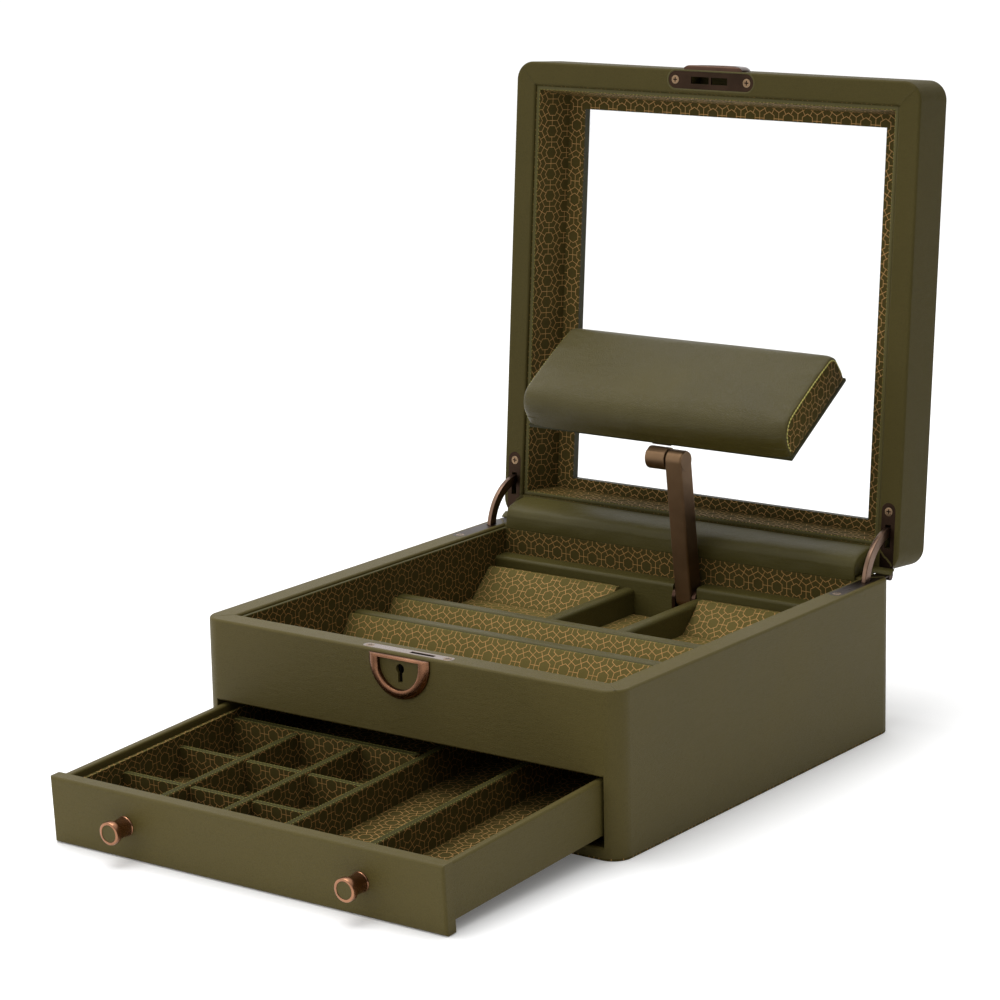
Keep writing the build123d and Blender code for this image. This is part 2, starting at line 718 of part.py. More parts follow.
with BuildPart() as arm_pivot_pin:
    rod(Plane.XY, arm_pivot, arm_pin_radius, bracket_x)
arm_pivot_pin.part.label = "arm_pivot_pin"
export_step(arm_pivot_pin.part, "parts/arm_pivot_pin.step")

with BuildPart() as stand_arm:
    middle = ((arm_pivot[0] + arm_head[0]) / 2, (arm_pivot[1] + arm_head[1]) / 2, 0)
    with BuildSketch(across(Plane.XY, arm_x[0])):
        with Locations(Location(middle, (0, 0, arm_lean))):
            SlotCenterToCenter(arm_length, arm_depth)
    extrude(amount=arm_x[1] - arm_x[0])
    fillet(faces().filter_by(Axis.X).edges(), 1.3)
    rod(Plane.XY, arm_pivot, arm_pin_radius + part_fit, arm_x, Mode.SUBTRACT)
    rod(Plane.XY, arm_head, head_pin_radius + part_fit, arm_x, Mode.SUBTRACT)
    rod(Plane.XY, arm_head, head_disc_radius + part_fit, (arm_x[1] - 1.4, arm_x[1] + 1), Mode.SUBTRACT)
stand_arm.part.label = "stand_arm"
export_step(stand_arm.part, "parts/stand_arm.step")

# Barrel with a tongue let into the cushion board, and the pin that joins it to the arm
with BuildPart() as cushion_barrel:
    rod(Plane.XY, arm_head, barrel_radius, barrel_x)
    start = cushion_front + 0.2
    tongue = [(start, -tongue_thickness), (start, 0.0), (tongue_end, 0.0), (tongue_end, -tongue_thickness)]
    bar(cushion_plane, tongue, barrel_x)
    rod(Plane.XY, arm_head, head_pin_radius + screw_fit, barrel_x, Mode.SUBTRACT)
    for u in tongue_screws:
        with BuildSketch(cushion_plane.offset(-2)):
            with Locations((barrel_middle, u)):
                Circle(head_radius + part_fit)
        extrude(amount=4, mode=Mode.SUBTRACT)
    # clear of the cushion board above
    bar(cushion_plane, [(-20, 0), (-20, 20), (90, 20), (90, 0)], (-40, 40), Mode.SUBTRACT)
cushion_barrel.part.label = "cushion_barrel"
export_step(cushion_barrel.part, "parts/cushion_barrel.step")

with BuildPart() as head_pin:
    rod(Plane.XY, arm_head, head_pin_radius, (barrel_x[0], arm_x[1]))
    rod(Plane.XY, arm_head, head_disc_radius, (arm_x[1] - 1.3, arm_x[1] + 0.2))
head_pin.part.label = "head_pin"
export_step(head_pin.part, "parts/head_pin.step")

with BuildPart() as cushion_screws:
    for u in tongue_screws:
        with BuildSketch(cushion_plane.offset(-tongue_thickness)):
            with Locations((barrel_middle, u)):
                Circle(head_radius)
                Rectangle(cross_size[0], cross_size[1], mode=Mode.SUBTRACT)
        extrude(amount=tongue_thickness)
cushion_screws.part.label = "cushion_screws"
export_step(cushion_screws.part, "parts/cushion_screws.step")

with BuildPart(cushion_plane) as cushion_board:
    block((-cushion_half - 0.6, cushion_half + 0.6), (cushion_front, cushion_back), (0, cushion_board_top))
    fillet(edges().filter_by(at_height(cushion_plane, cushion_board_top)), 1.2)
cushion_board.part.label = "cushion_board"
export_step(cushion_board.part, "parts/cushion_board.step")


# Cross-section of the cushion, drawn in at the foot and crowned at the top
def cushion_section(plane, shrink, crown):
    front = cushion_front + 1.0 + shrink
    back = cushion_back - 0.8 - shrink
    top = cushion_top - shrink
    middle = (cushion_front + cushion_back) / 2 - 0.5
    with BuildSketch(plane) as section:
        with BuildLine():
            Polyline((front + 1, cushion_board_top), (front, cushion_waist), (front + 0.1, top))
            ThreePointArc((front + 0.1, top), (middle, top + crown), (back - 0.9, top))
            Polyline((back - 0.9, top), (back, cushion_waist), (back - 1, cushion_board_top))
            Line((back - 1, cushion_board_top), (front + 1, cushion_board_top))
        make_face()
        fillet(section.vertices().sort_by(Axis.Y)[-2:], cushion_round)
    return section.sketch


with BuildPart() as cushion_pad:
    inner_half = cushion_half - cushion_end
    sections = [
        cushion_section(across(cushion_plane, -inner_half), cushion_end_slim, 0.8 * cushion_crown),
        cushion_section(across(cushion_plane, -0.6 * inner_half), cushion_slim, cushion_crown),
        cushion_section(across(cushion_plane, 0.6 * inner_half), cushion_slim, cushion_crown),
        cushion_section(across(cushion_plane, inner_half), cushion_end_slim, 0.8 * cushion_crown),
    ]
    loft(sections)
cushion_pad.part.label = "cushion_pad"
export_step(cushion_pad.part, "parts/cushion_pad.step")

with BuildPart() as cushion_ends:
    for side in (-1, 1):
        end_plane = across(cushion_plane, side * inner_half)
        end = cushion_section(end_plane, cushion_end_slim, 0.8 * cushion_crown)
        extrude(end, amount=side * cushion_end)
cushion_ends.part.label = "cushion_ends"
export_step(cushion_ends.part, "parts/cushion_ends.step")

# Curved stays that run from the lid into the side walls
with BuildPart() as stays:
    for side in (-1, 1):
        x = side * leaf_x - stay_thickness / 2
        start = radians(stay_angles[0])
        end = radians(stay_angles[1])
        middle_angle = (start + end) / 2
        spots = []
        for radius in stay_radii:
            spots.append(
                [
                    (stay_centre[0] + radius * cos(angle), stay_centre[1] + radius * sin(angle))
                    for angle in (start, middle_angle, end)
                ]
            )
        with BuildSketch(across(Plane.XY, x)):
            with BuildLine():
                ThreePointArc(*spots[0])
                Line(spots[0][2], spots[1][2])
                ThreePointArc(*reversed(spots[1]))
                Line(spots[1][0], spots[0][0])
            make_face()
        extrude(amount=stay_thickness)
stays.part.label = "stays"
export_step(stays.part, "parts/stays.step")


# Lid walls: mitred like the case, cut for the hinge leaves and the stays
def lid_wall(turn):
    hollow_ring(lid_plane, 0, lid_depth, True, True)
    keep_quarter(lid_plane, turn, 0, lid_depth)


def lid_hinge_cuts(side):
    limits = sorted((side * knuckle_x[0], side * knuckle_x[3]))
    pocket = sorted((side * (leaf_x - stay_pocket_half), side * (leaf_x + stay_pocket_half)))
    notch = sorted((side * (knuckle_x[0] - knuckle_fit), side * (knuckle_x[3] + knuckle_fit)))
    rounded_plate(
        lid_plane,
        limits,
        (lid_leaf_front_y, half_side + 8),
        (-1, leaf_thickness),
        leaf_half_width - 0.01,
        Mode.SUBTRACT,
    )
    block(pocket, lid_stay_slot_y, (0, lid_stay_pocket), Mode.SUBTRACT)
    rod(Plane.XY, (hinge_y, hinge_z), knuckle_radius + knuckle_fit, notch, Mode.SUBTRACT)
    with BuildSketch(lid_plane) as section:
        with Locations((side * leaf_x, lid_leaf_screw_y)):
            Circle(shank_radius + screw_fit)
    extrude(section.sketch, amount=shank_length, mode=Mode.SUBTRACT)


with BuildPart(lid_plane) as lid_front:
    lid_wall(0)
    recess = (-1, strike_thickness)
    rounded_plate(lid_plane, (-strike_half, strike_half), strike_y, recess, strike_round, Mode.SUBTRACT)
    block((strike_slots[0][0], strike_slots[1][1]), strike_slot_y, (0, strike_pocket), Mode.SUBTRACT)
    with BuildSketch(lid_plane):
        with Locations((-strike_screw_x, strike_screw_y), (strike_screw_x, strike_screw_y)):
            Circle(shank_radius + screw_fit)
    extrude(amount=shank_length, mode=Mode.SUBTRACT)
lid_front.part.label = "lid_front"
export_step(lid_front.part, "parts/lid_front.step")

with BuildPart(lid_plane) as lid_right:
    lid_wall(90)
    lid_hinge_cuts(1)
lid_right.part.label = "lid_right"
export_step(lid_right.part, "parts/lid_right.step")

with BuildPart(lid_plane) as lid_left:
    lid_wall(270)
    lid_hinge_cuts(-1)
lid_left.part.label = "lid_left"
export_step(lid_left.part, "parts/lid_left.step")

with BuildPart(lid_plane) as lid_back:
    lid_wall(180)
    lid_hinge_cuts(1)
    lid_hinge_cuts(-1)
lid_back.part.label = "lid_back"
export_step(lid_back.part, "parts/lid_back.step")


# Part a square ring into four with thin slits along its corners
def mitre_slits(inner_x, inner_y, z):
    for x_side in (-1, 1):
        for limit in inner_y:
            y_side = -1 if limit < 0 else 1
            start = (x_side * inner_x, limit)
            end = (x_side * half_upper, y_side * half_upper)
            turn = degrees(atan2(end[1] - start[1], end[0] - start[0]))
            centre = ((start[0] + end[0]) / 2, (start[1] + end[1]) / 2, (z[0] + z[1]) / 2)
            with Locations(Location(centre, (0, 0, turn))):
                Box(60, 0.08, z[1] - z[0] + 2, mode=Mode.SUBTRACT)


# Frame round the glass, its fabric underside and the sloping fabric lining
with BuildPart(lid_plane) as lid_frame:
    block((-half_upper, half_upper), (-half_upper, half_upper), (frame_bottom, lid_depth))
    block((-hole_x, hole_x), hole_y, (frame_bottom, lid_depth), Mode.SUBTRACT)
    glass_x = hole_x + glass_lap
    glass_y = (hole_y[0] - glass_lap, hole_y[1] + glass_lap)
    block((-glass_x, glass_x), glass_y, (glass_bottom, lid_depth), Mode.SUBTRACT)
    mitre_slits(hole_x, hole_y, (frame_bottom, lid_depth))
lid_frame.part.label = "lid_frame"
export_step(lid_frame.part, "parts/lid_frame.step")

with BuildPart(lid_plane) as lid_flange_lining:
    block((-half_upper, half_upper), (-half_upper, half_upper), (flange_bottom, frame_bottom))
    block((-hole_x, hole_x), hole_y, (flange_bottom, frame_bottom), Mode.SUBTRACT)
    mitre_slits(hole_x, hole_y, (flange_bottom, frame_bottom))
lid_flange_lining.part.label = "lid_flange_lining"
export_step(lid_flange_lining.part, "parts/lid_flange_lining.step")

with BuildPart(lid_plane) as lid_glass:
    block((-glass_x, glass_x), glass_y, (glass_bottom, glass_bottom + glass_thickness))
lid_glass.part.label = "lid_glass"
export_step(lid_glass.part, "parts/lid_glass.step")

with BuildPart(lid_plane) as lid_linings:
    block((-half_upper, half_upper), (-half_upper, half_upper), (lid_lining_start, flange_bottom))
    with BuildSketch(lid_plane.offset(lid_lining_start)):
        Rectangle(2 * (half_upper - lining_edge), 2 * (half_upper - lining_edge))
    with BuildSketch(lid_plane.offset(flange_bottom)):
        with Locations((0, (lining_foot_y[0] + lining_foot_y[1]) / 2)):
            Rectangle(2 * lining_foot_x, lining_foot_y[1] - lining_foot_y[0])
    loft(mode=Mode.SUBTRACT)
    mitre_slits(lining_foot_x, lining_foot_y, (lid_lining_start, flange_bottom))
lid_linings.part.label = "lid_linings"
export_step(lid_linings.part, "parts/lid_linings.step")

# Strike plate in the lid's front rim
with BuildPart(lid_plane) as strike_plate:
    rounded_plate(lid_plane, (-strike_half, strike_half), strike_y, (0, strike_thickness), strike_round)
    for slot in strike_slots:
        block(slot, strike_slot_y, (-1, strike_thickness + 1), Mode.SUBTRACT)
    with BuildSketch(lid_plane.offset(-1)):
        with Locations((-strike_screw_x, strike_screw_y), (strike_screw_x, strike_screw_y)):
            Circle(head_radius + part_fit)
    extrude(amount=4, mode=Mode.SUBTRACT)
strike_plate.part.label = "strike_plate"
export_step(strike_plate.part, "parts/strike_plate.step")

with BuildPart(lid_plane) as lid_escutcheon:
    inner_top = lid_ring_top + ring_bar
    half_ring(facing(lid_plane, -half_side), lid_ring_top, lid_ring_foot, inner_top, lid_ring_inner_foot, -1)
    outer = [
        edge
        for edge in lid_escutcheon.edges()
        if abs(lid_plane.to_local_coords(edge.center()).Y + half_side + ring_height) < 0.02
    ]
    chamfer(outer, ring_edge)
lid_escutcheon.part.label = "lid_escutcheon"
export_step(lid_escutcheon.part, "parts/lid_escutcheon.step")

# Hinge leaves in the lid's rim with the outer knuckles, and the pins through them
with BuildPart(lid_plane) as lid_hinge_leaves:
    for side in (-1, 1):
        limits = sorted((side * knuckle_x[0], side * knuckle_x[3]))
        slot = sorted((side * (leaf_x - stay_pocket_half), side * (leaf_x + stay_pocket_half)))
        level = (0, leaf_thickness)
        rounded_plate(lid_plane, limits, (lid_leaf_front_y, leaf_stop_y + 12), level, leaf_half_width - 0.01)
        block(limits, (leaf_stop_y, leaf_stop_y + 13), level, Mode.SUBTRACT)
        for outer_pair in ((knuckle_x[0], knuckle_x[1] - 0.1), (knuckle_x[2] + 0.1, knuckle_x[3])):
            ear = sorted((side * outer_pair[0], side * outer_pair[1]))
            block(ear, (leaf_stop_y - 1, hinge_y), level)
            rod(Plane.XY, (hinge_y, hinge_z), knuckle_radius, ear)
            rod(Plane.XY, (hinge_y, hinge_z), hinge_pin_radius + screw_fit, ear, Mode.SUBTRACT)
        block(slot, lid_stay_slot_y, (-1, 2), Mode.SUBTRACT)
        with BuildSketch(lid_plane.offset(-1)):
            with Locations((side * leaf_x, lid_leaf_screw_y)):
                Circle(head_radius + part_fit)
        extrude(amount=3, mode=Mode.SUBTRACT)
lid_hinge_leaves.part.label = "lid_hinge_leaves"
export_step(lid_hinge_leaves.part, "parts/lid_hinge_leaves.step")

with BuildPart() as lid_hinge_pins:
    for side in (-1, 1):
        rod(Plane.XY, (hinge_y, hinge_z), hinge_pin_radius, sorted((side * knuckle_x[0], side * knuckle_x[3])))
lid_hinge_pins.part.label = "lid_hinge_pins"
export_step(lid_hinge_pins.part, "parts/lid_hinge_pins.step")

with BuildPart() as lid_screws:
    for side in (-1, 1):
        screw(lid_plane, side * leaf_x, lid_leaf_screw_y, 0, False)
        screw(lid_plane, side * strike_screw_x, strike_screw_y, 0, False)
lid_screws.part.label = "lid_screws"
export_step(lid_screws.part, "parts/lid_screws.step")

# Drawer: front, sides, back and bottom
with BuildPart(drawer_plane) as drawer_front:
    wide = (-drawer_front_half, drawer_front_half)
    block(wide, (0, drawer_front_thickness), (0, drawer_front_height))
    front_edges = [
        edge for edge in drawer_front.edges() if abs(drawer_plane.to_local_coords(edge.center()).Y) < 0.02
    ]
    fillet(front_edges, drawer_front_edge)
    for side in (-1, 1):
        with BuildSketch(facing(drawer_plane, -1)):
            with Locations((side * knob_x, knob_z)):
                Circle(knob_bore + screw_fit)
        extrude(amount=-drawer_front_thickness - 2, mode=Mode.SUBTRACT)
drawer_front.part.label = "drawer_front"
export_step(drawer_front.part, "parts/drawer_front.step")

with BuildPart(drawer_plane) as drawer_sides:
    for side in (-1, 1):
        limits = sorted((side * (drawer_half - drawer_wall), side * drawer_half))
        block(limits, (drawer_front_thickness, drawer_length), (drawer_bottom_z, drawer_side_top))
    fillet(edges().filter_by(at_height(drawer_plane, drawer_side_top)).filter_by(
        lambda edge: abs(edge.tangent_at(0.5).dot(drawer_plane.y_dir)) > 0.99), 1.4)
    for side in (-1, 1):
        limits = sorted((side * (drawer_half - drawer_wall), side * drawer_half))
        rod(drawer_plane, guide_pin, guide_pin_radius + part_fit, limits, Mode.SUBTRACT)
drawer_sides.part.label = "drawer_sides"
export_step(drawer_sides.part, "parts/drawer_sides.step")

drawer_inner = drawer_half - drawer_wall
drawer_back_y = drawer_length - drawer_wall
with BuildPart(drawer_plane) as drawer_back:
    block((-drawer_inner, drawer_inner), (drawer_back_y, drawer_length), (drawer_bottom_z, drawer_back_top))
drawer_back.part.label = "drawer_back"
export_step(drawer_back.part, "parts/drawer_back.step")

bottom_top = drawer_bottom_z + drawer_bottom_thickness
with BuildPart(drawer_plane) as drawer_bottom:
    block((-drawer_inner, drawer_inner), (drawer_front_thickness, drawer_back_y), (drawer_bottom_z, bottom_top))
drawer_bottom.part.label = "drawer_bottom"
export_step(drawer_bottom.part, "parts/drawer_bottom.step")

with BuildPart(drawer_plane) as drawer_floor:
    inside = (drawer_front_thickness, drawer_back_y)
    block((-drawer_inner, drawer_inner), inside, (bottom_top, drawer_floor_top))
drawer_floor.part.label = "drawer_floor"
export_step(drawer_floor.part, "parts/drawer_floor.step")


# Lining board with a groove behind its stitched top edge
def lining_points(face, wall, top):
    away = 1 if wall > face else -1
    return [
        (face, drawer_floor_top),
        (face, top),
        (wall - away * drawer_groove, top),
        (wall - away * drawer_groove, top - drawer_groove_depth),
        (wall, top - drawer_groove_depth),
        (wall, drawer_floor_top),
    ]


lining_front = drawer_front_thickness + drawer_lining_gap
drawer_lining_x = drawer_inner - drawer_lining_gap
with BuildPart(drawer_plane) as drawer_linings:
    for side in (-1, 1):
        points = lining_points(side * drawer_lining_x, side * drawer_inner, drawer_lining_top)
        with BuildSketch(facing(drawer_plane, drawer_front_thickness)):
            with BuildLine():
                Polyline(*points, close=True)
            make_face()
        extrude(amount=-(drawer_back_y - drawer_front_thickness))
    front_points = lining_points(lining_front, drawer_front_thickness, drawer_lining_top)
    bar(drawer_plane, front_points, (-drawer_lining_x + part_fit, drawer_lining_x - part_fit))
drawer_linings.part.label = "drawer_linings"
export_step(drawer_linings.part, "parts/drawer_linings.step")

# Drawer dividers
with BuildPart(drawer_plane) as drawer_long_dividers:
    for left in long_divider_x:
        end = grid_y[0] if left < long_divider_x[2] else drawer_back_y
        block((left, left + long_divider_width), (lining_front, end), (drawer_floor_top, divider_top))
    fillet(edges().filter_by(at_height(drawer_plane, divider_top)).filter_by(
        lambda edge: abs(edge.tangent_at(0.5).dot(drawer_plane.y_dir)) > 0.99), 1.2)
drawer_long_dividers.part.label = "drawer_long_dividers"
export_step(drawer_long_dividers.part, "parts/drawer_long_dividers.step")

with BuildPart(drawer_plane) as drawer_cross_dividers:
    block((-drawer_lining_x, long_divider_x[2]), grid_y, (drawer_floor_top, grid_top))
    starts = [-drawer_lining_x] + [left + long_divider_width for left in long_divider_x[:2]]
    for cell in zip(starts, long_divider_x[:3]):
        for y in cell_divider_y:
            block(cell, (y - cell_divider_width / 2, y + cell_divider_width / 2), (drawer_floor_top, cell_top))
drawer_cross_dividers.part.label = "drawer_cross_dividers"
export_step(drawer_cross_dividers.part, "parts/drawer_cross_dividers.step")

# Pull knobs with a leather disc in each
with BuildPart(drawer_plane) as drawer_knobs:
    for side in (-1, 1):
        centre = (side * knob_x, knob_z)
        neck_end = knob_head_start - 3.6
        with BuildSketch(facing(drawer_plane, 0)):
            with Locations(centre):
                Circle(knob_neck[0])
        extrude(amount=neck_end + 0.1)
        with BuildSketch(facing(drawer_plane, -neck_end)):
            with Locations(centre):
                Circle(knob_neck[1])
        with BuildSketch(facing(drawer_plane, -knob_head_start)):
            with Locations(centre):
                Circle(knob_radius)
        loft()
        with BuildSketch(facing(drawer_plane, -knob_head_start)):
            with Locations(centre):
                Circle(knob_radius)
        extrude(amount=knob_reach - knob_head_start)
        with BuildSketch(facing(drawer_plane, -knob_reach)):
            with Locations(centre):
                Circle(knob_recess_radius)
        extrude(amount=-knob_recess, mode=Mode.SUBTRACT)
        with BuildSketch(facing(drawer_plane, 0)):
            with Locations(centre):
                Circle(knob_bore)
        extrude(amount=-drawer_front_thickness)
drawer_knobs.part.label = "drawer_knobs"
export_step(drawer_knobs.part, "parts/drawer_knobs.step")

with BuildPart(drawer_plane) as knob_inlays:
    for side in (-1, 1):
        with BuildSketch(facing(drawer_plane, -knob_reach + knob_recess)):
            with Locations((side * knob_x, knob_z)):
                Circle(knob_recess_radius - part_fit)
        extrude(amount=knob_recess - 0.3)
knob_inlays.part.label = "knob_inlays"
export_step(knob_inlays.part, "parts/knob_inlays.step")

# Pins at the drawer's back that run in the grooves of the side walls
with BuildPart(drawer_plane) as drawer_guide_pins:
    for side in (-1, 1):
        tip = half_lower + groove_depth - 0.4
        rod(drawer_plane, guide_pin, guide_pin_radius, sorted((side * (drawer_inner + 0.2), side * tip)))
drawer_guide_pins.part.label = "drawer_guide_pins"
export_step(drawer_guide_pins.part, "parts/drawer_guide_pins.step")
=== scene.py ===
import json
from math import cos, pi, radians, sin, sqrt

import bmesh
import bpy
import numpy as np
from mathutils import Matrix, Vector

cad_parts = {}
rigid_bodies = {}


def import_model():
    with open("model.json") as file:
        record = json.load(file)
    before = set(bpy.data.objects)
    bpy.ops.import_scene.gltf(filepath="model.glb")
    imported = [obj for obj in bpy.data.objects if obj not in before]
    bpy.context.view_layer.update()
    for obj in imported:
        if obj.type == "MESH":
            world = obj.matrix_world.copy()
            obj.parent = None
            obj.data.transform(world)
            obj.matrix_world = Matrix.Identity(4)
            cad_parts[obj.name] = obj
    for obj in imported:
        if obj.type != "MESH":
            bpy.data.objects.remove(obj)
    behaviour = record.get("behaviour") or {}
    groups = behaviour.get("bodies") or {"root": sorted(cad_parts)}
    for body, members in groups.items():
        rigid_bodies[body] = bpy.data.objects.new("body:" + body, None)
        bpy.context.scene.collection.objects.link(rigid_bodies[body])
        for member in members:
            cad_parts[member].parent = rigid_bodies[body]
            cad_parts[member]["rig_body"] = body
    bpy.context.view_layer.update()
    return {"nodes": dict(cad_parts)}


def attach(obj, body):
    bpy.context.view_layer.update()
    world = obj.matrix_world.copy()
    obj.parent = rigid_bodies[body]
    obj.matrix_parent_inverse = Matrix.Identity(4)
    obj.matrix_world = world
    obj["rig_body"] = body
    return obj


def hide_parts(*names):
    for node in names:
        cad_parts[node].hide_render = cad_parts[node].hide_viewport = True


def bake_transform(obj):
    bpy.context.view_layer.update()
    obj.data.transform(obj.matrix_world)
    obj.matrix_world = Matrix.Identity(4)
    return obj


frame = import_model()
nodes = frame["nodes"]
mm = 0.001
print("frame loaded:", len(nodes), "nodes")


# An object of any data, in the scene
def linked(name, data):
    piece = bpy.data.objects.new(name, data)
    bpy.context.scene.collection.objects.link(piece)
    return piece


# A piece on its body, with the node it stands for hidden where given
def settle(piece, body, node=None):
    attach(piece, body)
    if node:
        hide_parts(node)


# Where the tilted parts lie: origin, right, back and up axes in metres
def tiltedFrame(origin, turn):
    # back = (0, cos turn, sin turn), up = (0, -sin turn, cos turn)
    return {
        "origin": np.array(origin) * mm,
        "axes": np.array([[1, 0, 0], [0, cos(turn), sin(turn)], [0, -sin(turn), cos(turn)]]),
        "turn": turn,
    }


lidTurn = radians(94.82)
hingePin = (152.2, 96.65)
lidOrigin = (
    0,
    hingePin[0] - hingePin[0] * cos(lidTurn) + (98.3 - hingePin[1]) * sin(lidTurn),
    hingePin[1] + hingePin[0] * sin(lidTurn) + (98.3 - hingePin[1]) * cos(lidTurn),
)
caseFrame = tiltedFrame((0, 0, 0), 0)
lidFrame = tiltedFrame(lidOrigin, -lidTurn)
drawerFrame = tiltedFrame((0, -292.6, 0.3), radians(3))
cushionFrame = tiltedFrame((0, 113.9, 170.25), radians(31.3))


# World point = origin + x * right + y * back + z * up, for points in mm in a tilted frame
def placed(points, where):
    return (np.asarray(points, float) * mm) @ where["axes"] + where["origin"]


# Camera and light
cameraValues = {
    "place": (1.13798, -1.58216, 0.61276),
    "azimuth": 36.625,
    "elevation": 13.13,
    "roll": -1.174,
    "lens": 120.03,
}


# back = (sin a cos e, -cos a cos e, sin e), right = (cos a, sin a, 0), both turned by the roll
def makeCamera(values):
    azimuth, elevation, roll = (radians(values[key]) for key in ("azimuth", "elevation", "roll"))
    back = Vector((sin(azimuth) * cos(elevation), -cos(azimuth) * cos(elevation), sin(elevation)))
    right = Vector((cos(azimuth), sin(azimuth), 0))
    up = back.cross(right)
    rolledRight = right * cos(roll) + up * sin(roll)
    rolledUp = up * cos(roll) - right * sin(roll)
    data = bpy.data.cameras.new("photoCamera")
    data.lens = values["lens"]
    data.sensor_width = 36
    data.clip_start, data.clip_end = 0.05, 60
    camera = linked("photoCamera", data)
    turn = Matrix((rolledRight, rolledUp, back)).transposed().to_4x4()
    camera.matrix_world = Matrix.Translation(values["place"]) @ turn
    bpy.context.scene.camera = camera


makeCamera(cameraValues)

lightValues = {
    "dim": 0.06,
    "bright": 1.25,
    "toward": (-0.6, 0.12, 0.62),
    "range": (-0.42, 0.5),
    "lamps": {
        "topSoftbox": {"place": (-0.4, -0.1, 1.8), "aim": (0, 0, 0.1), "size": 1.2, "power": 19},
        "frontSoftbox": {"place": (-0.9, -1.9, 0.75), "aim": (0, 0, 0.1), "size": 0.9, "power": 3},
    },
}


# Studio light by direction: direction . toward, read over range, gives dim to bright; white where it is seen
def makeLights(values):
    world = bpy.data.worlds.new("paleStudio")
    world.use_nodes = True
    tree = world.node_tree
    sky = tree.nodes["Background"]
    sky.inputs["Color"].default_value = (1.0, 1.0, 1.0, 1)
    place = tree.nodes.new("ShaderNodeTexCoord")
    turned = tree.nodes.new("ShaderNodeVectorMath")
    turned.operation = "DOT_PRODUCT"
    turned.inputs[1].default_value = values["toward"]
    share = tree.nodes.new("ShaderNodeMapRange")
    limits = (*values["range"], values["dim"], values["bright"])
    for socket, limit in zip(("From Min", "From Max", "To Min", "To Max"), limits):
        share.inputs[socket].default_value = limit
    path = tree.nodes.new("ShaderNodeLightPath")
    seen = tree.nodes.new("ShaderNodeMath")
    seen.operation = "MAXIMUM"
    tree.links.new(place.outputs["Generated"], turned.inputs[0])
    tree.links.new(turned.outputs["Value"], share.inputs["Value"])
    tree.links.new(share.outputs["Result"], seen.inputs[0])
    tree.links.new(path.outputs["Is Camera Ray"], seen.inputs[1])
    tree.links.new(seen.outputs[0], sky.inputs["Strength"])
    bpy.context.scene.world = world
    for name, lamp in values["lamps"].items():
        data = bpy.data.lights.new(name, "AREA")
        data.size = lamp["size"]
        data.energy = lamp["power"]
        light = linked(name, data)
        light.location = lamp["place"]
        aim = Vector(lamp["aim"]) - Vector(lamp["place"])
        light.rotation_mode = "QUATERNION"
        light.rotation_quaternion = aim.to_track_quat("-Z", "Y")


makeLights(lightValues)
bpy.context.scene.view_settings.view_transform = "Standard"
print("camera and light ready")


# Shader maths: a number socket with the usual operators, each of which adds one Math node
class Signal:
    def __init__(self, finish, socket):
        self.finish = finish
        self.socket = socket

    def maths(self, operation, *others):
        values = {0: self}
        values.update({place + 1: other for place, other in enumerate(others)})
        return self.finish.add("Math", {"operation": operation}, values)

    def __rsub__(self, other):
        return self.maths("MULTIPLY_ADD", -1.0, other)


operators = {
    "__add__": "ADD", "__radd__": "ADD", "__sub__": "SUBTRACT", "__mul__": "MULTIPLY", "__rmul__": "MULTIPLY",
    "__truediv__": "DIVIDE", "__mod__": "FLOORED_MODULO", "__abs__": "ABSOLUTE", "__lt__": "LESS_THAN",
    "__gt__": "GREATER_THAN", "smaller": "MINIMUM", "larger": "MAXIMUM",
}
for method, operation in operators.items():
    setattr(Signal, method, lambda self, *others, kind=operation: self.maths(kind, *others))


# A material; add() makes any node from its type, its settings and its sockets' values or links
class Finish:
    def __init__(self, name):
        self.material = bpy.data.materials.new(name)
        self.material.use_nodes = True
        self.tree = self.material.node_tree
        self.tree.nodes.clear()

    def add(self, kind, settings=None, values=None, output=0):
        node = self.tree.nodes.new("ShaderNode" + kind)
        for key, value in (settings or {}).items():
            setattr(node, key, value)
        for key, value in (values or {}).items():
            if isinstance(value, Signal):
                self.tree.links.new(value.socket, node.inputs[key])
            else:
                node.inputs[key].default_value = value
        return Signal(self, node.outputs[output]) if len(node.outputs) else None

    def mixed(self, factor, first, second):
        return self.add("Mix", {"data_type": "RGBA"}, {0: factor, 6: first, 7: second}, 2)

    def parts(self, vector):
        node = self.add("SeparateXYZ", None, {0: vector}).socket.node
        return [Signal(self, output) for output in node.outputs]

    def objectPlace(self, where=None):
        return self.turned(self.add("TexCoord", output=3), where, True)

    def objectNormal(self, where=None):
        return self.turned(self.add("TexCoord", output=1), where, False)

    def turned(self, vector, where, shift):
        if where is None:
            return vector
        start = where["origin"] if shift else (0, 0, 0)
        moved = self.add("VectorMath", {"operation": "SUBTRACT"}, {0: vector, 1: tuple(start)})
        turn = (-where["turn"], 0, 0)
        return self.add("Mapping", {"vector_type": "POINT"}, {"Vector": moved, "Rotation": turn})

    def noise(self, place, scale, detail=2.0, roughness=0.5):
        values = {"Vector": place, "Scale": scale, "Detail": detail, "Roughness": roughness}
        return self.add("TexNoise", None, values)

    def stretched(self, place, times):
        return self.add("VectorMath", {"operation": "MULTIPLY"}, {0: place, 1: times})

    def cells(self, place, scale, feature="F1"):
        return self.add("TexVoronoi", {"feature": feature}, {"Vector": place, "Scale": scale})

    def bump(self, height, strength, distance, normal=None):
        values = {"Height": height, "Strength": strength, "Distance": distance}
        if normal is not None:
            values["Normal"] = normal
        return self.add("Bump", None, values)

    def surface(self, values):
        shader = self.add("BsdfPrincipled", None, values)
        self.add("OutputMaterial", None, {"Surface": shader})
        return self.material


# Colour given as the 0-255 numbers of a screen, turned to linear light
def screenColour(red, green, blue):
    share = np.array([red, green, blue]) / 255
    light = np.where(share <= 0.04045, share / 12.92, ((share + 0.055) / 1.055) ** 2.4)
    return (*[float(value) for value in light], 1.0)


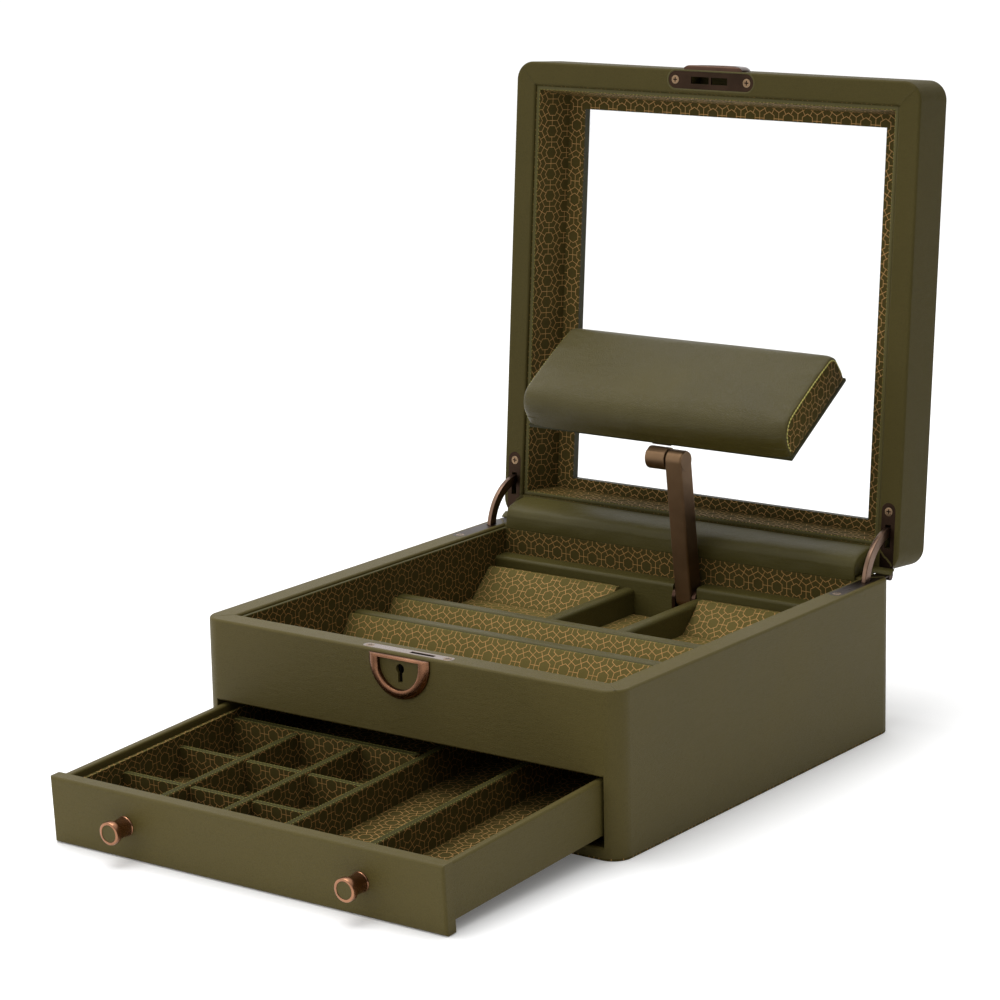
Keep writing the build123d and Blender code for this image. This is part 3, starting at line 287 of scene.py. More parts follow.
# Fine pebbled leather: height = pebbles + fine grain + creases drawn out sideways + slow waves, given by
# bump, with a slow change of tone and darker pores between the pebbles
def makeLeather(name, dark, light, rough=0.5, grain=0.07, shine=0.13, waves=0.0):
    finish = Finish(name)
    place = finish.objectPlace()
    slow = finish.noise(place, 14, 3)
    fine = finish.noise(place, 900, 2)
    pebbles = finish.cells(place, 1150, "DISTANCE_TO_EDGE")
    pores = (1 - pebbles * 5.0).larger(0.0)
    tone = (slow * 1.5 - 0.25).larger(0.0).smaller(1.0)
    colour = finish.mixed(tone, screenColour(*dark), screenColour(*light))
    colour = finish.mixed(pores * 0.22, colour, screenColour(30, 27, 14))
    creases = finish.noise(finish.stretched(place, (1, 1, 3.5)), 150, 4, 0.6)
    height = pebbles.smaller(0.25) * 2.2 + fine * 0.5 + creases * 1.6
    height = height + finish.noise(place, 32, 1) * (waves * 8)
    return finish.surface({
        "Base Color": colour,
        "Roughness": slow * 0.14 + fine * 0.08 + (rough - 0.11),
        "Normal": finish.bump(height, 0.45, grain * mm * 4),
        "Specular IOR Level": shine,
    })


# Honeycomb lines: a cell of the hexagon grid is the nearer of two shifted rectangle grids, and its
# distance is max(|x|, |x| / 2 + |y| * 0.866); lines lie where that distance is near a few set values
def hexagonLines(finish, across, along, pitch, width):
    x, y = across / pitch, along / pitch
    tall = sqrt(3)
    firstX, firstY = x % 1.0 - 0.5, y % tall - tall / 2
    secondX, secondY = (x + 0.5) % 1.0 - 0.5, (y + tall / 2) % tall - tall / 2
    firstFar = firstX * firstX + firstY * firstY
    secondFar = secondX * secondX + secondY * secondY
    nearer = firstFar < secondFar
    cellX = abs(firstX * nearer + secondX * (1 - nearer))
    cellY = abs(firstY * nearer + secondY * (1 - nearer))
    flatSide = cellX.larger(cellX * 0.5 + cellY * (tall / 2))
    half = width / pitch / 2
    lines = (abs(flatSide - 0.5) < half).larger(abs(flatSide - 0.26) < half)
    spoke = (abs(cellY - cellX * tall) * 0.5 < half).larger(cellY < half)
    return lines.larger(spoke * (flatSide > 0.26))


liningValues = {
    "pitch": 14.0,
    "line": 0.38,
    "ground": (62, 54, 22),
    "groundLight": (74, 65, 30),
    # sewn and sewnLight: a lighter copy of the lining's ground for the upward-facing pads, painted light from
    # above
    "sewn": (88, 78, 38),
    "sewnLight": (104, 93, 50),
    "print": (176, 134, 82),
    "plain": (58, 54, 26),
}


# Printed lining: weave = sin across * sin along in bump, bronze hexagon lines, laid by the face's own map or
# flat on whichever side a face looks to
def makeLining(name, where=None, plainTop=False, byMap=False, tones=("ground", "groundLight")):
    finish, values = Finish(name), liningValues
    place = finish.objectPlace(where)
    if byMap:
        across, along = finish.parts(finish.add("UVMap", {"uv_map": "cloth"}))[:2]
    else:
        x, y, z = finish.parts(place)
        towardX, towardY, towardZ = [abs(part) for part in finish.parts(finish.objectNormal(where))]
        sideways = (towardX > towardY) * (towardX > towardZ)
        upward = (towardZ > towardY) * (towardZ > towardX)
        across = y * sideways + x * (1 - sideways)
        along = y * upward + z * (1 - upward)
    lines = hexagonLines(finish, across, along, values["pitch"] * mm, values["line"] * mm)
    weaveSize = 2 * pi / (0.55 * mm)
    weave = (across * weaveSize).maths("SINE") * (along * weaveSize).maths("SINE")
    slow = finish.noise(place, 30, 2)
    worn = finish.noise(place, 420, 2)
    ground = finish.mixed(slow, *[screenColour(*values[tone]) for tone in tones])
    ground = finish.mixed(weave * 0.16 + 0.1, ground, screenColour(40, 34, 14))
    shown = lines * (worn * 0.9 + 0.42).smaller(1.0)
    if plainTop:
        shown = shown * (1 - upward)
        ground = finish.mixed(upward, ground, screenColour(*values["plain"]))
    colour = finish.mixed(shown, ground, screenColour(*values["print"]))
    return finish.surface({
        "Base Color": colour,
        "Roughness": 0.78 - shown * 0.3,
        "Metallic": shown * 0.2,
        "Normal": finish.bump(weave * 0.5 + lines * 0.5 + worn * 0.4, 0.25, 0.09 * mm),
        "Specular IOR Level": 0.08,
    })


# Satin metal: base tone with slow dark patina and fine scratches drawn out along one axis; where asked,
# near-black painted shade in the screw slots
def makeMetal(name, dark, light, rough=0.34, drawn=(1, 1, 14), slotShadePainted=False):
    finish = Finish(name)
    place = finish.objectPlace()
    scratches = finish.noise(finish.stretched(place, drawn), 900, 3)
    patina = finish.noise(place, 60, 3)
    share = (patina * 1.6 - 0.3).larger(0.0).smaller(1.0)
    colour = finish.mixed(share, screenColour(*dark), screenColour(*light))
    if slotShadePainted:
        # Painted shade: the slot share darkens the colour to near black
        paintedSlotShade = finish.add("Attribute", {"attribute_name": "paintedSlotShade"}, output=2)
        colour = finish.mixed(paintedSlotShade, colour, screenColour(18, 13, 9))
    return finish.surface({
        "Base Color": colour,
        "Metallic": 1.0,
        "Roughness": scratches * 0.12 + patina * 0.1 + (rough - 0.11),
        "Normal": finish.bump(scratches, 0.12, 0.03 * mm),
    })


# Thread or bare board: tone mixed towards a share of itself by fibre noise, which also gives the bump
def makeFibre(name, colour, share, scale, detail, rough, strength, depth, shine):
    finish = Finish(name)
    fibre = finish.noise(finish.objectPlace(), scale, detail)
    tone = finish.mixed(fibre, screenColour(*colour), screenColour(*[part * share for part in colour]))
    return finish.surface({
        "Base Color": tone,
        "Roughness": rough,
        "Normal": finish.bump(fibre, strength, depth * mm),
        "Specular IOR Level": shine,
    })


# Clear glass: nearly see-through, alpha = 0.04 + 0.02 * a slow smear
def makeGlass(name):
    finish = Finish(name)
    place = finish.objectPlace()
    smear = finish.noise(place, 8, 2)
    return finish.surface({
        "Base Color": (0.75, 0.8, 0.78, 1),
        "Roughness": smear * 0.02 + 0.01,
        "Alpha": smear * 0.02 + 0.04,
        "Specular IOR Level": 0.5,
    })


leathers = {
    "caseLeather": ((79, 70, 33), (87, 77, 39)),
    "lidLeather": ((66, 59, 28), (73, 65, 33), 0.55, 0.07, 0.06),
    "dividerLeather": ((71, 65, 29), (79, 72, 35), 0.42, 0.06, 0.16),
    "cushionLeather": ((65, 58, 23), (77, 69, 29), 0.36, 0.13, 0.2, 1.2),
    "frameLeather": ((50, 48, 26), (58, 56, 32), 0.5),
}
linings = {
    "caseLining": (caseFrame,),
    "lidLining": (lidFrame,),
    "drawerLining": (drawerFrame,),
    "drawerDividers": (drawerFrame, True),
    # Upward pads: the same lining in the lighter sewn tones, painted top light
    "sewnLining": (None, False, True, ("sewn", "sewnLight")),
    "endLining": (None, False, True),
}
metals = {
    "satinBronze": ((104, 82, 60), (130, 104, 78), 0.5),
    "ringBronze": ((92, 63, 46), (146, 104, 78), 0.25, (14, 14, 1)),
    "knobBronze": ((120, 84, 62), (176, 128, 98), 0.25, (14, 14, 1)),
    "stayBronze": ((84, 66, 54), (132, 106, 88), 0.3),
    "leafBronze": ((36, 27, 20), (58, 43, 33), 0.42),
    "darkBronze": ((54, 40, 32), (84, 62, 50), 0.36),
    "plateBronze": ((116, 102, 94), (140, 124, 114), 0.28, (1, 14, 14)),
    "screwBronze": ((150, 128, 98), (184, 160, 124), 0.28),
    # Screw heads: True gives the painted shade in their slots
    "crossHead": ((104, 84, 64), (142, 116, 90), 0.34, (1, 1, 14), True),
    "satinSteel": ((120, 116, 110), (140, 136, 130), 0.36),
    # Near-black steel: painted shade for the dark keyhole of the lock
    "blackSteel": ((16, 14, 12), (24, 21, 18), 0.5),
}
threadFibre = (0.72, 1500, 2, 0.7, 0.5, 0.06, 0.3)
fibres = {
    "edgeThread": ((140, 134, 58), *threadFibre),
    "brightThread": ((206, 196, 108), *threadFibre),
    # Dark thread: used only for painted shade lines, beside the corner seam folds and down the drawer-front
    # gaps
    "darkThread": ((34, 30, 14), *threadFibre),
    "plainBoard": ((70, 60, 36), 0.8, 260, 4, 0.85, 0.3, 0.1, 0.5),
}
paints = {}
families = ((makeLeather, leathers), (makeLining, linings), (makeMetal, metals), (makeFibre, fibres))
for maker, table in families:
    paints.update({name: maker(name, *how) for name, how in table.items()})
paints["clearGlass"] = makeGlass("clearGlass")

nodePaints = {
    "caseLeather": (
        "case_front case_left case_right case_back drawer_front drawer_sides drawer_back "
        "knob_inlays"
    ),
    "plainBoard": "base_panel tray_deck drawer_bottom",
    "caseLining": (
        "base_cover tray_linings floor_pads front_wedge_pad rear_wedge_pad side_wedge_pads "
        "cushion_ends"
    ),
    "dividerLeather": "front_divider rear_divider side_dividers ledge hinge_gusset",
    "leafBronze": "case_hinge_leaves strike_plate lid_hinge_leaves",
    "screwBronze": "case_screws lid_screws cushion_screws",
    # Lock body and key cylinder: near-black painted shade seen through the keyhole
    "blackSteel": "lock_body key_cylinder",
    "plateBronze": "lock_plate",
    "ringBronze": "lock_ring",
    "darkBronze": "arm_bracket arm_pivot_pin lid_escutcheon lid_hinge_pins",
    "lidLeather": "lid_front lid_left lid_right lid_back",
    "frameLeather": "lid_frame cushion_board",
    "lidLining": "lid_flange_lining lid_linings",
    "clearGlass": "lid_glass",
    "stayBronze": "stays",
    "satinBronze": "stand_arm cushion_barrel head_pin",
    "cushionLeather": "cushion_pad",
    "satinSteel": "drawer_guide_pins lock_claw",
    "drawerLining": "drawer_floor drawer_linings",
    "drawerDividers": "drawer_long_dividers drawer_cross_dividers",
    "knobBronze": "drawer_knobs",
}
for paint, group in nodePaints.items():
    for node in group.split():
        nodes[node].data.materials.clear()
        nodes[node].data.materials.append(paints[paint])
print("finishes ready:", len(paints))


# Meshes from whole arrays of points
# Six times the volume that faces enclose: the sum of p0 . (p1 x p2) over each face cut into a fan
def enclosed(points, polygons):
    flat = points.reshape(-1, 3) - points.reshape(-1, 3).mean(0)
    total = 0.0
    for polygon in polygons:
        ring = flat[np.atleast_2d(polygon)]
        middle = np.cross(ring[:, 1:-1], ring[:, 2:])
        total += float((ring[:, :1] * middle).sum())
    return total


# A smooth piece from its points and the polygons that join them
def meshPiece(name, points, polygons, paint):
    mesh = bpy.data.meshes.new(name)
    mesh.from_pydata(points.reshape(-1, 3).tolist(), [], polygons)
    mesh.polygons.foreach_set("use_smooth", [True] * len(mesh.polygons))
    mesh.materials.append(paints[paint])
    return linked(name, mesh)


# A skin over rows x columns of points: each quad joins a point to its right and lower neighbours, all are
# turned over when they enclose less than nothing, and the map is the place in metres across and along
def skin(
    name, points, paint, wrapColumns=False, wrapRows=False, capEnds=False, capBorder=False, clothMap=None
):
    rows, columns = points.shape[:2]
    index = np.arange(rows * columns).reshape(rows, columns)
    lower, right = np.roll(index, -1, 0), np.roll(index, -1, 1)
    corner = np.roll(lower, -1, 1)
    lastRow = rows if wrapRows else rows - 1
    lastColumn = columns if wrapColumns else columns - 1
    quads = np.stack([index, lower, corner, right], -1)[:lastRow, :lastColumn].reshape(-1, 4)
    caps = [index[0], index[-1][::-1]] if capEnds else []
    if capBorder:
        caps.append(np.concatenate([index[0, :-1], index[:-1, -1], index[-1, :0:-1], index[:0:-1, 0]]))
    steps = [(0, 0), (1, 0), (1, 1), (0, 1)]
    if enclosed(points, [quads, *caps]) < 0:
        quads, caps, steps = quads[:, ::-1], [cap[::-1] for cap in caps], steps[::-1]
    piece = meshPiece(name, points, quads.tolist() + [cap.tolist() for cap in caps], paint)
    if clothMap is not None:
        across, along = clothMap
        layer = piece.data.uv_layers.new(name="cloth")
        loops = np.zeros((len(piece.data.loops), 2), np.float32)
        rowAt, columnAt = np.meshgrid(np.arange(lastRow), np.arange(lastColumn), indexing="ij")
        for place, (down, side) in enumerate(steps):
            loops[place:len(quads) * 4:4, 0] = across[rowAt + down, columnAt + side].reshape(-1)
            loops[place:len(quads) * 4:4, 1] = along[rowAt + down, columnAt + side].reshape(-1)
        layer.data.foreach_set("uv", loops.reshape(-1))
    return piece


# A closed outline of (back, up) corners with each corner rounded by its own radius and evenly divided:
# a corner's arc runs from the points one tangent length before and after it
def roundedOutline(corners, radii, perArc=7, step=2.0):
    corners = np.array(corners, float)
    before, after = np.roll(corners, 1, 0), np.roll(corners, -1, 0)
    points = []
    for corner, last, following, radius in zip(corners, before, after, radii):
        inward, outward = last - corner, following - corner
        inward, outward = inward / np.linalg.norm(inward), outward / np.linalg.norm(outward)
        half = np.arccos(np.clip(inward @ outward, -1, 1)) / 2
        reach = radius / np.tan(half)
        share = np.linspace(0, 1, perArc)[:, None]
        start, end = corner + inward * reach, corner + outward * reach
        curve = (1 - share) ** 2 * start + 2 * share * (1 - share) * corner + share ** 2 * end
        middle = radius / np.sin(half)
        centre = corner + (inward + outward) / np.linalg.norm(inward + outward) * middle
        spokes = curve - centre
        curve = centre + spokes / np.linalg.norm(spokes, axis=1)[:, None] * radius
        points.append(curve)
    outline = np.concatenate(points)
    far = lengthAlong(outline) / mm
    closed = np.concatenate([outline, outline[:1]])
    counts = np.maximum(1, np.round(np.diff(far) / step)).astype(int)
    starts = np.repeat(np.arange(len(outline)), counts)
    within = np.arange(len(starts)) - np.repeat(np.cumsum(counts) - counts, counts)
    places = far[starts] + within / counts[starts] * (far[starts + 1] - far[starts])
    return np.stack([np.interp(places, far, closed[:, axis]) for axis in range(2)], -1)


# Metres run so far along a closed outline, with the full length at the end
def lengthAlong(outline):
    gaps = np.linalg.norm(np.roll(outline, -1, 0) - outline, axis=1)
    return np.concatenate([[0], np.cumsum(gaps)]) * mm


# Outward unit normal of a closed outline whose corners run clockwise seen from +x
def outwardOf(outline):
    along = np.roll(outline, -1, 0) - np.roll(outline, 1, 0)
    along /= np.linalg.norm(along, axis=1)[:, None]
    normal = np.stack([-along[:, 1], along[:, 0]], -1)
    return normal


# A run along x of one closed (back, up) outline: point(x, k) = outline(k) + lift(x, k) * outward(k)
def run(name, outline, stations, where, paint, lift=None, fabric=False):
    grid = np.zeros((len(stations), len(outline), 3))
    grid[..., 0] = np.asarray(stations)[:, None]
    shaped = np.broadcast_to(outline, (len(stations), *outline.shape)).copy()
    if lift is not None:
        shaped += lift[..., None] * outwardOf(outline)
    grid[..., 1:] = shaped
    clothMap = None
    if fabric:
        along = lengthAlong(outline)
        across = np.asarray(stations) * mm
        clothMap = np.meshgrid(across, along, indexing="ij")
    return skin(name, placed(grid, where), paint, wrapColumns=True, capEnds=True, clothMap=clothMap)


print("mesh tools ready")

# Sewn and padded pieces of the tray
wedgeValues = {
    "deckTop": 55.5, "floorTop": 56.5, "slabTop": 76.0, "grooveWidth": 2.6, "grooveFloor": 72.5,
    "wedgeRun": 12.1, "halfTray": 132.4, "plump": 0.7, "turnIn": 0.25,
    "feet": {"frontWedgePad": (-44.3, -28.0), "rearWedgePad": (-0.5, 15.6)},
}


# Wedge pad: outline with a soft lip, slope raised by plump * sin(pi * share) across and along it
def makeWedgePad(name, node, corners, radii, limits, slope):
    values = wedgeValues
    outline = roundedOutline(corners, radii, 6, 1.6)
    stations = np.concatenate([
        [limits[0], limits[0] + 0.15],
        np.linspace(limits[0] + 0.8, limits[1] - 0.8, max(8, int((limits[1] - limits[0]) / 4))),
        [limits[1] - 0.15, limits[1]],
    ])
    foot = np.array(slope[0])
    rise = np.array(slope[1]) - foot
    share = np.clip((outline - foot) @ rise / (rise @ rise), 0, 1)
    beside = np.abs((outline - foot) @ np.array([-rise[1], rise[0]])) / np.linalg.norm(rise)
    onSlope = np.where(beside < 0.6, np.sin(pi * share), 0)
    edge = np.minimum(np.minimum(stations - limits[0], limits[1] - stations) / 3.0, 1)
    ripple = 1 + 0.16 * np.sin(stations * 0.11) + 0.1 * np.sin(stations * 0.29 + 1.0)
    lift = values["plump"] * np.outer(edge * ripple, onSlope) - values["turnIn"] * (1 - edge)[:, None]
    # Pad lining in the lighter tones: painted light from above
    pad = run(name, outline, stations, caseFrame, "sewnLining", lift, True)
    settle(pad, "case", node)


wedgeRadii = (0.2, 0.3, 1.0, 0.5, 0.3, 0.2, 0.2)
deckTop, floorTop = wedgeValues["deckTop"], wedgeValues["floorTop"]
halfTray = wedgeValues["halfTray"]
for name, (foot, divider) in wedgeValues["feet"].items():
    lip, top = foot + wedgeValues["wedgeRun"], wedgeValues["slabTop"] - 0.2
    groove, low = divider - wedgeValues["grooveWidth"], wedgeValues["grooveFloor"]
    corners = [
        (foot, deckTop), (foot, floorTop), (lip, top), (groove, top), (groove, low), (divider, low),
        (divider, deckTop),
    ]
    node = "front_wedge_pad" if name == "frontWedgePad" else "rear_wedge_pad"
    makeWedgePad(name, node, corners, wedgeRadii, (-halfTray, halfTray), ((foot, floorTop), (lip, top)))

sideWedgeValues = {
    "foot": 94.5, "lip": 113.1, "top": 74.0, "ledge": 120.6, "inner": 31.55, "groove": (3.4, 3.5),
}
foot, lip, top, ledge = (sideWedgeValues[key] for key in ("foot", "lip", "top", "ledge"))
groove, low = ledge - sideWedgeValues["groove"][0], top - sideWedgeValues["groove"][1]
corners = [
    (foot, deckTop), (foot, floorTop), (lip, top), (groove, top), (groove, low), (ledge, low),
    (ledge, deckTop),
]
sideRadii = (0.2, 0.3, 1.6, 0.5, 0.3, 0.2, 0.2)
for side, name in ((-1, "sideWedgePadLeft"), (1, "sideWedgePadRight")):
    limits = sorted((side * sideWedgeValues["inner"], side * halfTray))
    makeWedgePad(name, "side_wedge_pads", corners, sideRadii, limits, ((foot, floorTop), (lip, top)))
print("wedge pads ready")


# Floor pad: height = bottom at the outermost ring, then top less a rounded edge that falls off over edge mm,
# with a slow ripple of a tenth of a millimetre; the border is closed underneath by one face
def makeFloorPad(name, x, y, bottom=55.5, top=56.5, edge=0.7):
    def stations(low, high, count):
        return np.concatenate([
            [low, low, low + 0.12, low + 0.35], np.linspace(low + edge, high - edge, count),
            [high - 0.35, high - 0.12, high, high],
        ])

    gridX, gridY = np.meshgrid(stations(*x, 44), stations(*y, 24), indexing="ij")
    inset = np.minimum(np.minimum(gridX - x[0], x[1] - gridX), np.minimum(gridY - y[0], y[1] - gridY))
    fall = np.sqrt(np.clip(1 - (1 - np.clip(inset / edge, 0, 1)) ** 2, 0, 1))
    height = bottom + (top - bottom) * (0.4 + 0.6 * fall)
    height += 0.1 * np.sin(gridX * 0.12) * np.sin(gridY * 0.15 + 0.4) * np.clip(inset / 6, 0, 1)
    height[[0, -1], :] = bottom
    height[:, [0, -1]] = bottom
    points = np.stack([gridX, gridY, height], -1)
    cloth = (gridX * mm, gridY * mm)
    # Pad lining in the lighter tones: painted light from above
    return skin(name, placed(points, caseFrame), "sewnLining", capBorder=True, clothMap=cloth)


floorPlaces = [
    ("floorPadFront", (-halfTray, halfTray), (-halfTray, -44.4)),
    ("floorPadMiddle", (-halfTray, halfTray), (-18.95, -0.55)),
    ("floorPadCentre", (-22.45, 22.45), (24.65, 118.6)),
    ("floorPadLeft", (-halfTray, -31.55), (24.65, 94.45)),
    ("floorPadRight", (31.55, halfTray), (24.65, 94.45)),
]
for name, x, y in floorPlaces:
    settle(makeFloorPad(name, x, y), "case", "floor_pads")
print("floor pads ready")

# The watch cushion
cushionValues = {
    "half": 98.35, "front": 1.2, "back": 76.6, "foot": 1.0, "top": 24.7, "waist": 9.0,
    "frontRound": 12.5, "backRound": 7.0, "crown": 1.3, "pressure": 3.0, "frames": 20, "cap": 0.5,
}


# Outline of the cushion: upright to the waist, then leaning in to the rounded top, whose height is raised by
# crown * sin(pi * share)
def cushionOutline(values, inset=0.0):
    front, back = values["front"] + inset, values["back"] - inset
    foot, top = values["foot"] + inset, values["top"] - inset
    corners = [
        (front + 0.3, foot), (front, values["waist"]), (front + 0.6, top),
        (back - 1.8, top), (back, values["waist"]), (back - 0.3, foot),
    ]
    radii = (0.8, 8, values["frontRound"], values["backRound"], 8, 0.8)
    outline = roundedOutline(corners, radii, 10, 1.8)
    share = np.clip((outline[:, 0] - front) / (back - front), 0, 1)
    lifted = np.clip((outline[:, 1] - values["waist"]) / (top - values["waist"]), 0, 1)
    outline[:, 1] += values["crown"] * np.sin(pi * share) * lifted ** 2
    return outline


# Leather cover: outline lifted by swell = 0.35 - 0.55 * |x / half|^6, rounded in by 1.7 mm over the last
# six millimetres along a quarter ellipse, with short puckers that fade over 7 mm from each end
def makeCushionCover(values=cushionValues):
    outline = cushionOutline(values)
    half = values["half"]
    ends = np.array([0.0, 0.25, 0.7, 1.3, 2.2, 3.6])
    stations = np.concatenate([ends - half, np.linspace(-half + 5.5, half - 5.5, 84), half - ends[::-1]])
    inward = half - np.abs(stations)
    around = (np.arange(len(outline)) / len(outline))[None, :]
    swell = 0.35 - 0.55 * np.abs(stations / half) ** 6
    turnIn = -1.7 * (1 - np.sqrt(1 - np.clip(1 - inward / 6.0, 0, 1) ** 2))
    waves = 0.16 * np.sin(around * 150) + 0.12 * np.sin(around * 83 + 1.3)
    pucker = (np.exp(-inward / 7.0) * (inward > 1.0))[:, None] * waves
    slow = 0.14 * (np.sin(stations * 0.045 + 0.6) * np.clip(inward / 20, 0, 1))[:, None] * np.sin(around * 19)
    lift = (swell + turnIn)[:, None] + pucker + slow
    cover = run("cushionCover", outline, stations, cushionFrame, "cushionLeather", lift)
    return cover, outline, stations


# Foam under pressure: cloth with a little air in it, its foot and ends pinned, moved by no more than the cap
def puff(piece, pinned, values=cushionValues):
    still = np.zeros(len(piece.data.vertices) * 3)
    piece.data.vertices.foreach_get("co", still)
    still = still.reshape(-1, 3)
    group = piece.vertex_groups.new(name="sewnDown")
    group.add(np.nonzero(pinned)[0].tolist(), 1.0, "REPLACE")
    cloth = piece.modifiers.new("foamPressure", "CLOTH")
    cloth.settings.quality = 5
    cloth.settings.mass = 0.25
    cloth.settings.tension_stiffness = 18
    cloth.settings.compression_stiffness = 18
    cloth.settings.bending_stiffness = 2.0
    cloth.settings.use_pressure = True
    cloth.settings.uniform_pressure_force = values["pressure"]
    cloth.settings.vertex_group_mass = "sewnDown"
    cloth.settings.effector_weights.gravity = 0
    cloth.collision_settings.use_collision = False
    cloth.point_cache.frame_start, cloth.point_cache.frame_end = 1, values["frames"]
    for step in range(1, values["frames"] + 1):
        bpy.context.scene.frame_set(step)
    shaped = piece.evaluated_get(bpy.context.evaluated_depsgraph_get())
    moved = np.zeros(len(still) * 3)
    shaped.data.vertices.foreach_get("co", moved)
    shift = moved.reshape(-1, 3) - still
    size = np.linalg.norm(shift, axis=1)
    limit = values["cap"] * mm
    shift *= (limit * np.tanh(size / limit) / np.maximum(size, 1e-9))[:, None]
    piece.modifiers.remove(cloth)
    piece.vertex_groups.remove(group)
    bpy.context.scene.frame_set(1)
    piece.data.vertices.foreach_set("co", (still + shift).reshape(-1))
    piece.data.update()
    most = float(np.linalg.norm(shift, axis=1).max()) / mm
    print("cushion swelled by at most", round(most, 2), "mm")


cushionCover, coverOutline, coverStations = makeCushionCover()
lowDown = np.tile(coverOutline[:, 1] < 4.0, len(coverStations))
atEnds = np.repeat(np.abs(coverStations) > cushionValues["half"] - 2.5, len(coverOutline))
puff(cushionCover, lowDown | atEnds)
smooth = cushionCover.modifiers.new("softer", "SUBSURF")
smooth.levels = smooth.render_levels = 1
settle(cushionCover, "cushion", "cushion_pad")


# Fabric end: rings of the outline shrunk by share, x = foot + rise * (1 - share^4), closed at its back
def makeCushionEnd(name, side, values=cushionValues):
    outline = cushionOutline(values, 1.9)
    middle = (outline.max(0) + outline.min(0)) / 2
    shares = np.array([0.02, 0.12, 0.3, 0.5, 0.68, 0.82, 0.92, 0.97, 1.0, 1.0])
    heights = 98.2 + 0.75 * (1 - shares ** 4)
    heights[-1] = 97.0
    flat = middle + (outline - middle)[None] * shares[:, None, None]
    points = np.zeros((len(shares), len(outline), 3))
    points[..., 0] = side * heights[:, None]
    points[..., 1:] = flat
    ring = np.concatenate([flat, flat[:, :1]], 1)
    cloth = (ring[..., 1] * mm, ring[..., 0] * mm)
    points = placed(points, cushionFrame)
    end = skin(name, points, "endLining", wrapColumns=True, capEnds=True, clothMap=cloth)
    settle(end, "cushion", "cushion_ends")


makeCushionEnd("cushionEndLeft", -1)
makeCushionEnd("cushionEndRight", 1)
print("watch cushion ready")

# Leather strip over the hinge gap
gussetValues = {
    "half": 132.1,
    "outer": [
        (132.7, 96.0), (132.5, 99.4), (132.6, 102.6), (133.0, 105.4),
        (135.0, 108.9), (139.6, 111.1), (146.6, 112.6), (154.2, 113.5),
    ],
    "inner": [
        (154.1, 111.5), (154.0, 106.0), (153.9, 101.0), (151.4, 99.6),
        (149.6, 98.25), (142.0, 98.2), (135.1, 98.15), (135.0, 96.0),
    ],
    "flap": [
        (149.2, 98.2), (150.4, 99.1), (151.6, 99.9), (154.1, 101.3),
        (154.0, 100.7), (151.8, 99.4), (150.6, 98.6), (149.4, 98.12),
    ],
    "outerSteps": 7, "innerSteps": 5,
}


# Points of a smooth curve through corners: p(t) = Catmull-Rom blend of the four nearest corners
def smoothThrough(corners, perSpan):
    corners = np.array(corners, float)
    padded = np.concatenate([[2 * corners[0] - corners[1]], corners, [2 * corners[-1] - corners[-2]]])
    t = np.arange(perSpan)[:, None] / perSpan
    spans = []
    for a, b, c, d in zip(padded, padded[1:], padded[2:], padded[3:]):
        square, cube = 2 * a - 5 * b + 4 * c - d, 3 * b - a - 3 * c + d
        spans.append(0.5 * (2 * b + (c - a) * t + square * t ** 2 + cube * t ** 3))
    return np.concatenate([*spans, corners[-1:]])


# Strip: outer and inner curves as one outline, its front lifted by sag = 0.22 * sin * sin + 0.12 * sin * cos
# and its ends drawn in by half a millimetre
def makeGusset(values=gussetValues):
    steps = values["outerSteps"]
    outer, inner = smoothThrough(values["outer"], steps), smoothThrough(values["inner"], values["innerSteps"])
    outline = np.concatenate([outer, inner])
    half = values["half"]
    inside = np.linspace(-half + 1, half - 1, 120)
    stations = np.concatenate([[-half, -half + 0.3], inside, [half - 0.3, half]])
    inward = np.clip((half - np.abs(stations)) / 1.2, 0, 1)
    outerCount = steps * (len(values["outer"]) - 1)
    front = np.arange(len(outline)) < outerCount
    around = np.arange(len(outline)) / outerCount
    sag = 0.22 * np.outer(np.sin(stations * 0.052), np.sin(around * 7))
    sag += 0.12 * np.outer(np.sin(stations * 0.19 + 2), np.cos(around * 9))
    lift = sag * front[None] - 0.5 * (1 - inward)[:, None]
    gusset = run("hingeGusset", outline, stations, caseFrame, "dividerLeather", lift)
    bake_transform(gusset)
    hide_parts("hinge_gusset")


makeGusset()


# Flap that closes the gap over the knuckles at each end of the strip: the flap outline run along x
def makeHingeFlap(name, side, values=gussetValues):
    stations = side * np.linspace(132.3, 148.2, 12)
    flap = run(name, np.array(values["flap"]), stations, caseFrame, "dividerLeather")
    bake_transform(flap)


makeHingeFlap("hingeFlapLeft", -1)
makeHingeFlap("hingeFlapRight", 1)


# Roll behind the hinge strip: a tube on the hinge axis, radius + 0.06 * sin, drawn in at both ends
def makeHingeRoll(half=134.0, radius=1.75):
    turn = np.arange(20) / 20 * 2 * pi
    inside = np.linspace(-half + 2, half - 2, 60)
    stations = np.concatenate([[-half, -half, -half + 0.5], inside, [half - 0.5, half, half]])
    thick = radius + 0.06 * np.sin(stations * 0.21)
    thick[[0, -1]] = 0.02
    thick[[1, -2]] = radius * 0.8
    points = np.stack([
        np.repeat(stations[:, None], len(turn), 1),
        hingePin[0] + np.outer(thick, np.cos(turn)),
        hingePin[1] + np.outer(thick, np.sin(turn)),
    ], -1)
    roll = skin("hingeRoll", placed(points, caseFrame), "dividerLeather", wrapColumns=True, capEnds=True)
    settle(roll, "case")


makeHingeRoll()
print("hinge strip ready")

# Stitching: beads of thread laid end to end along straight or curved rows
threadValues = {"pitch": 2.5, "length": 1.8, "radius": 0.2, "rings": 5, "sides": 6}


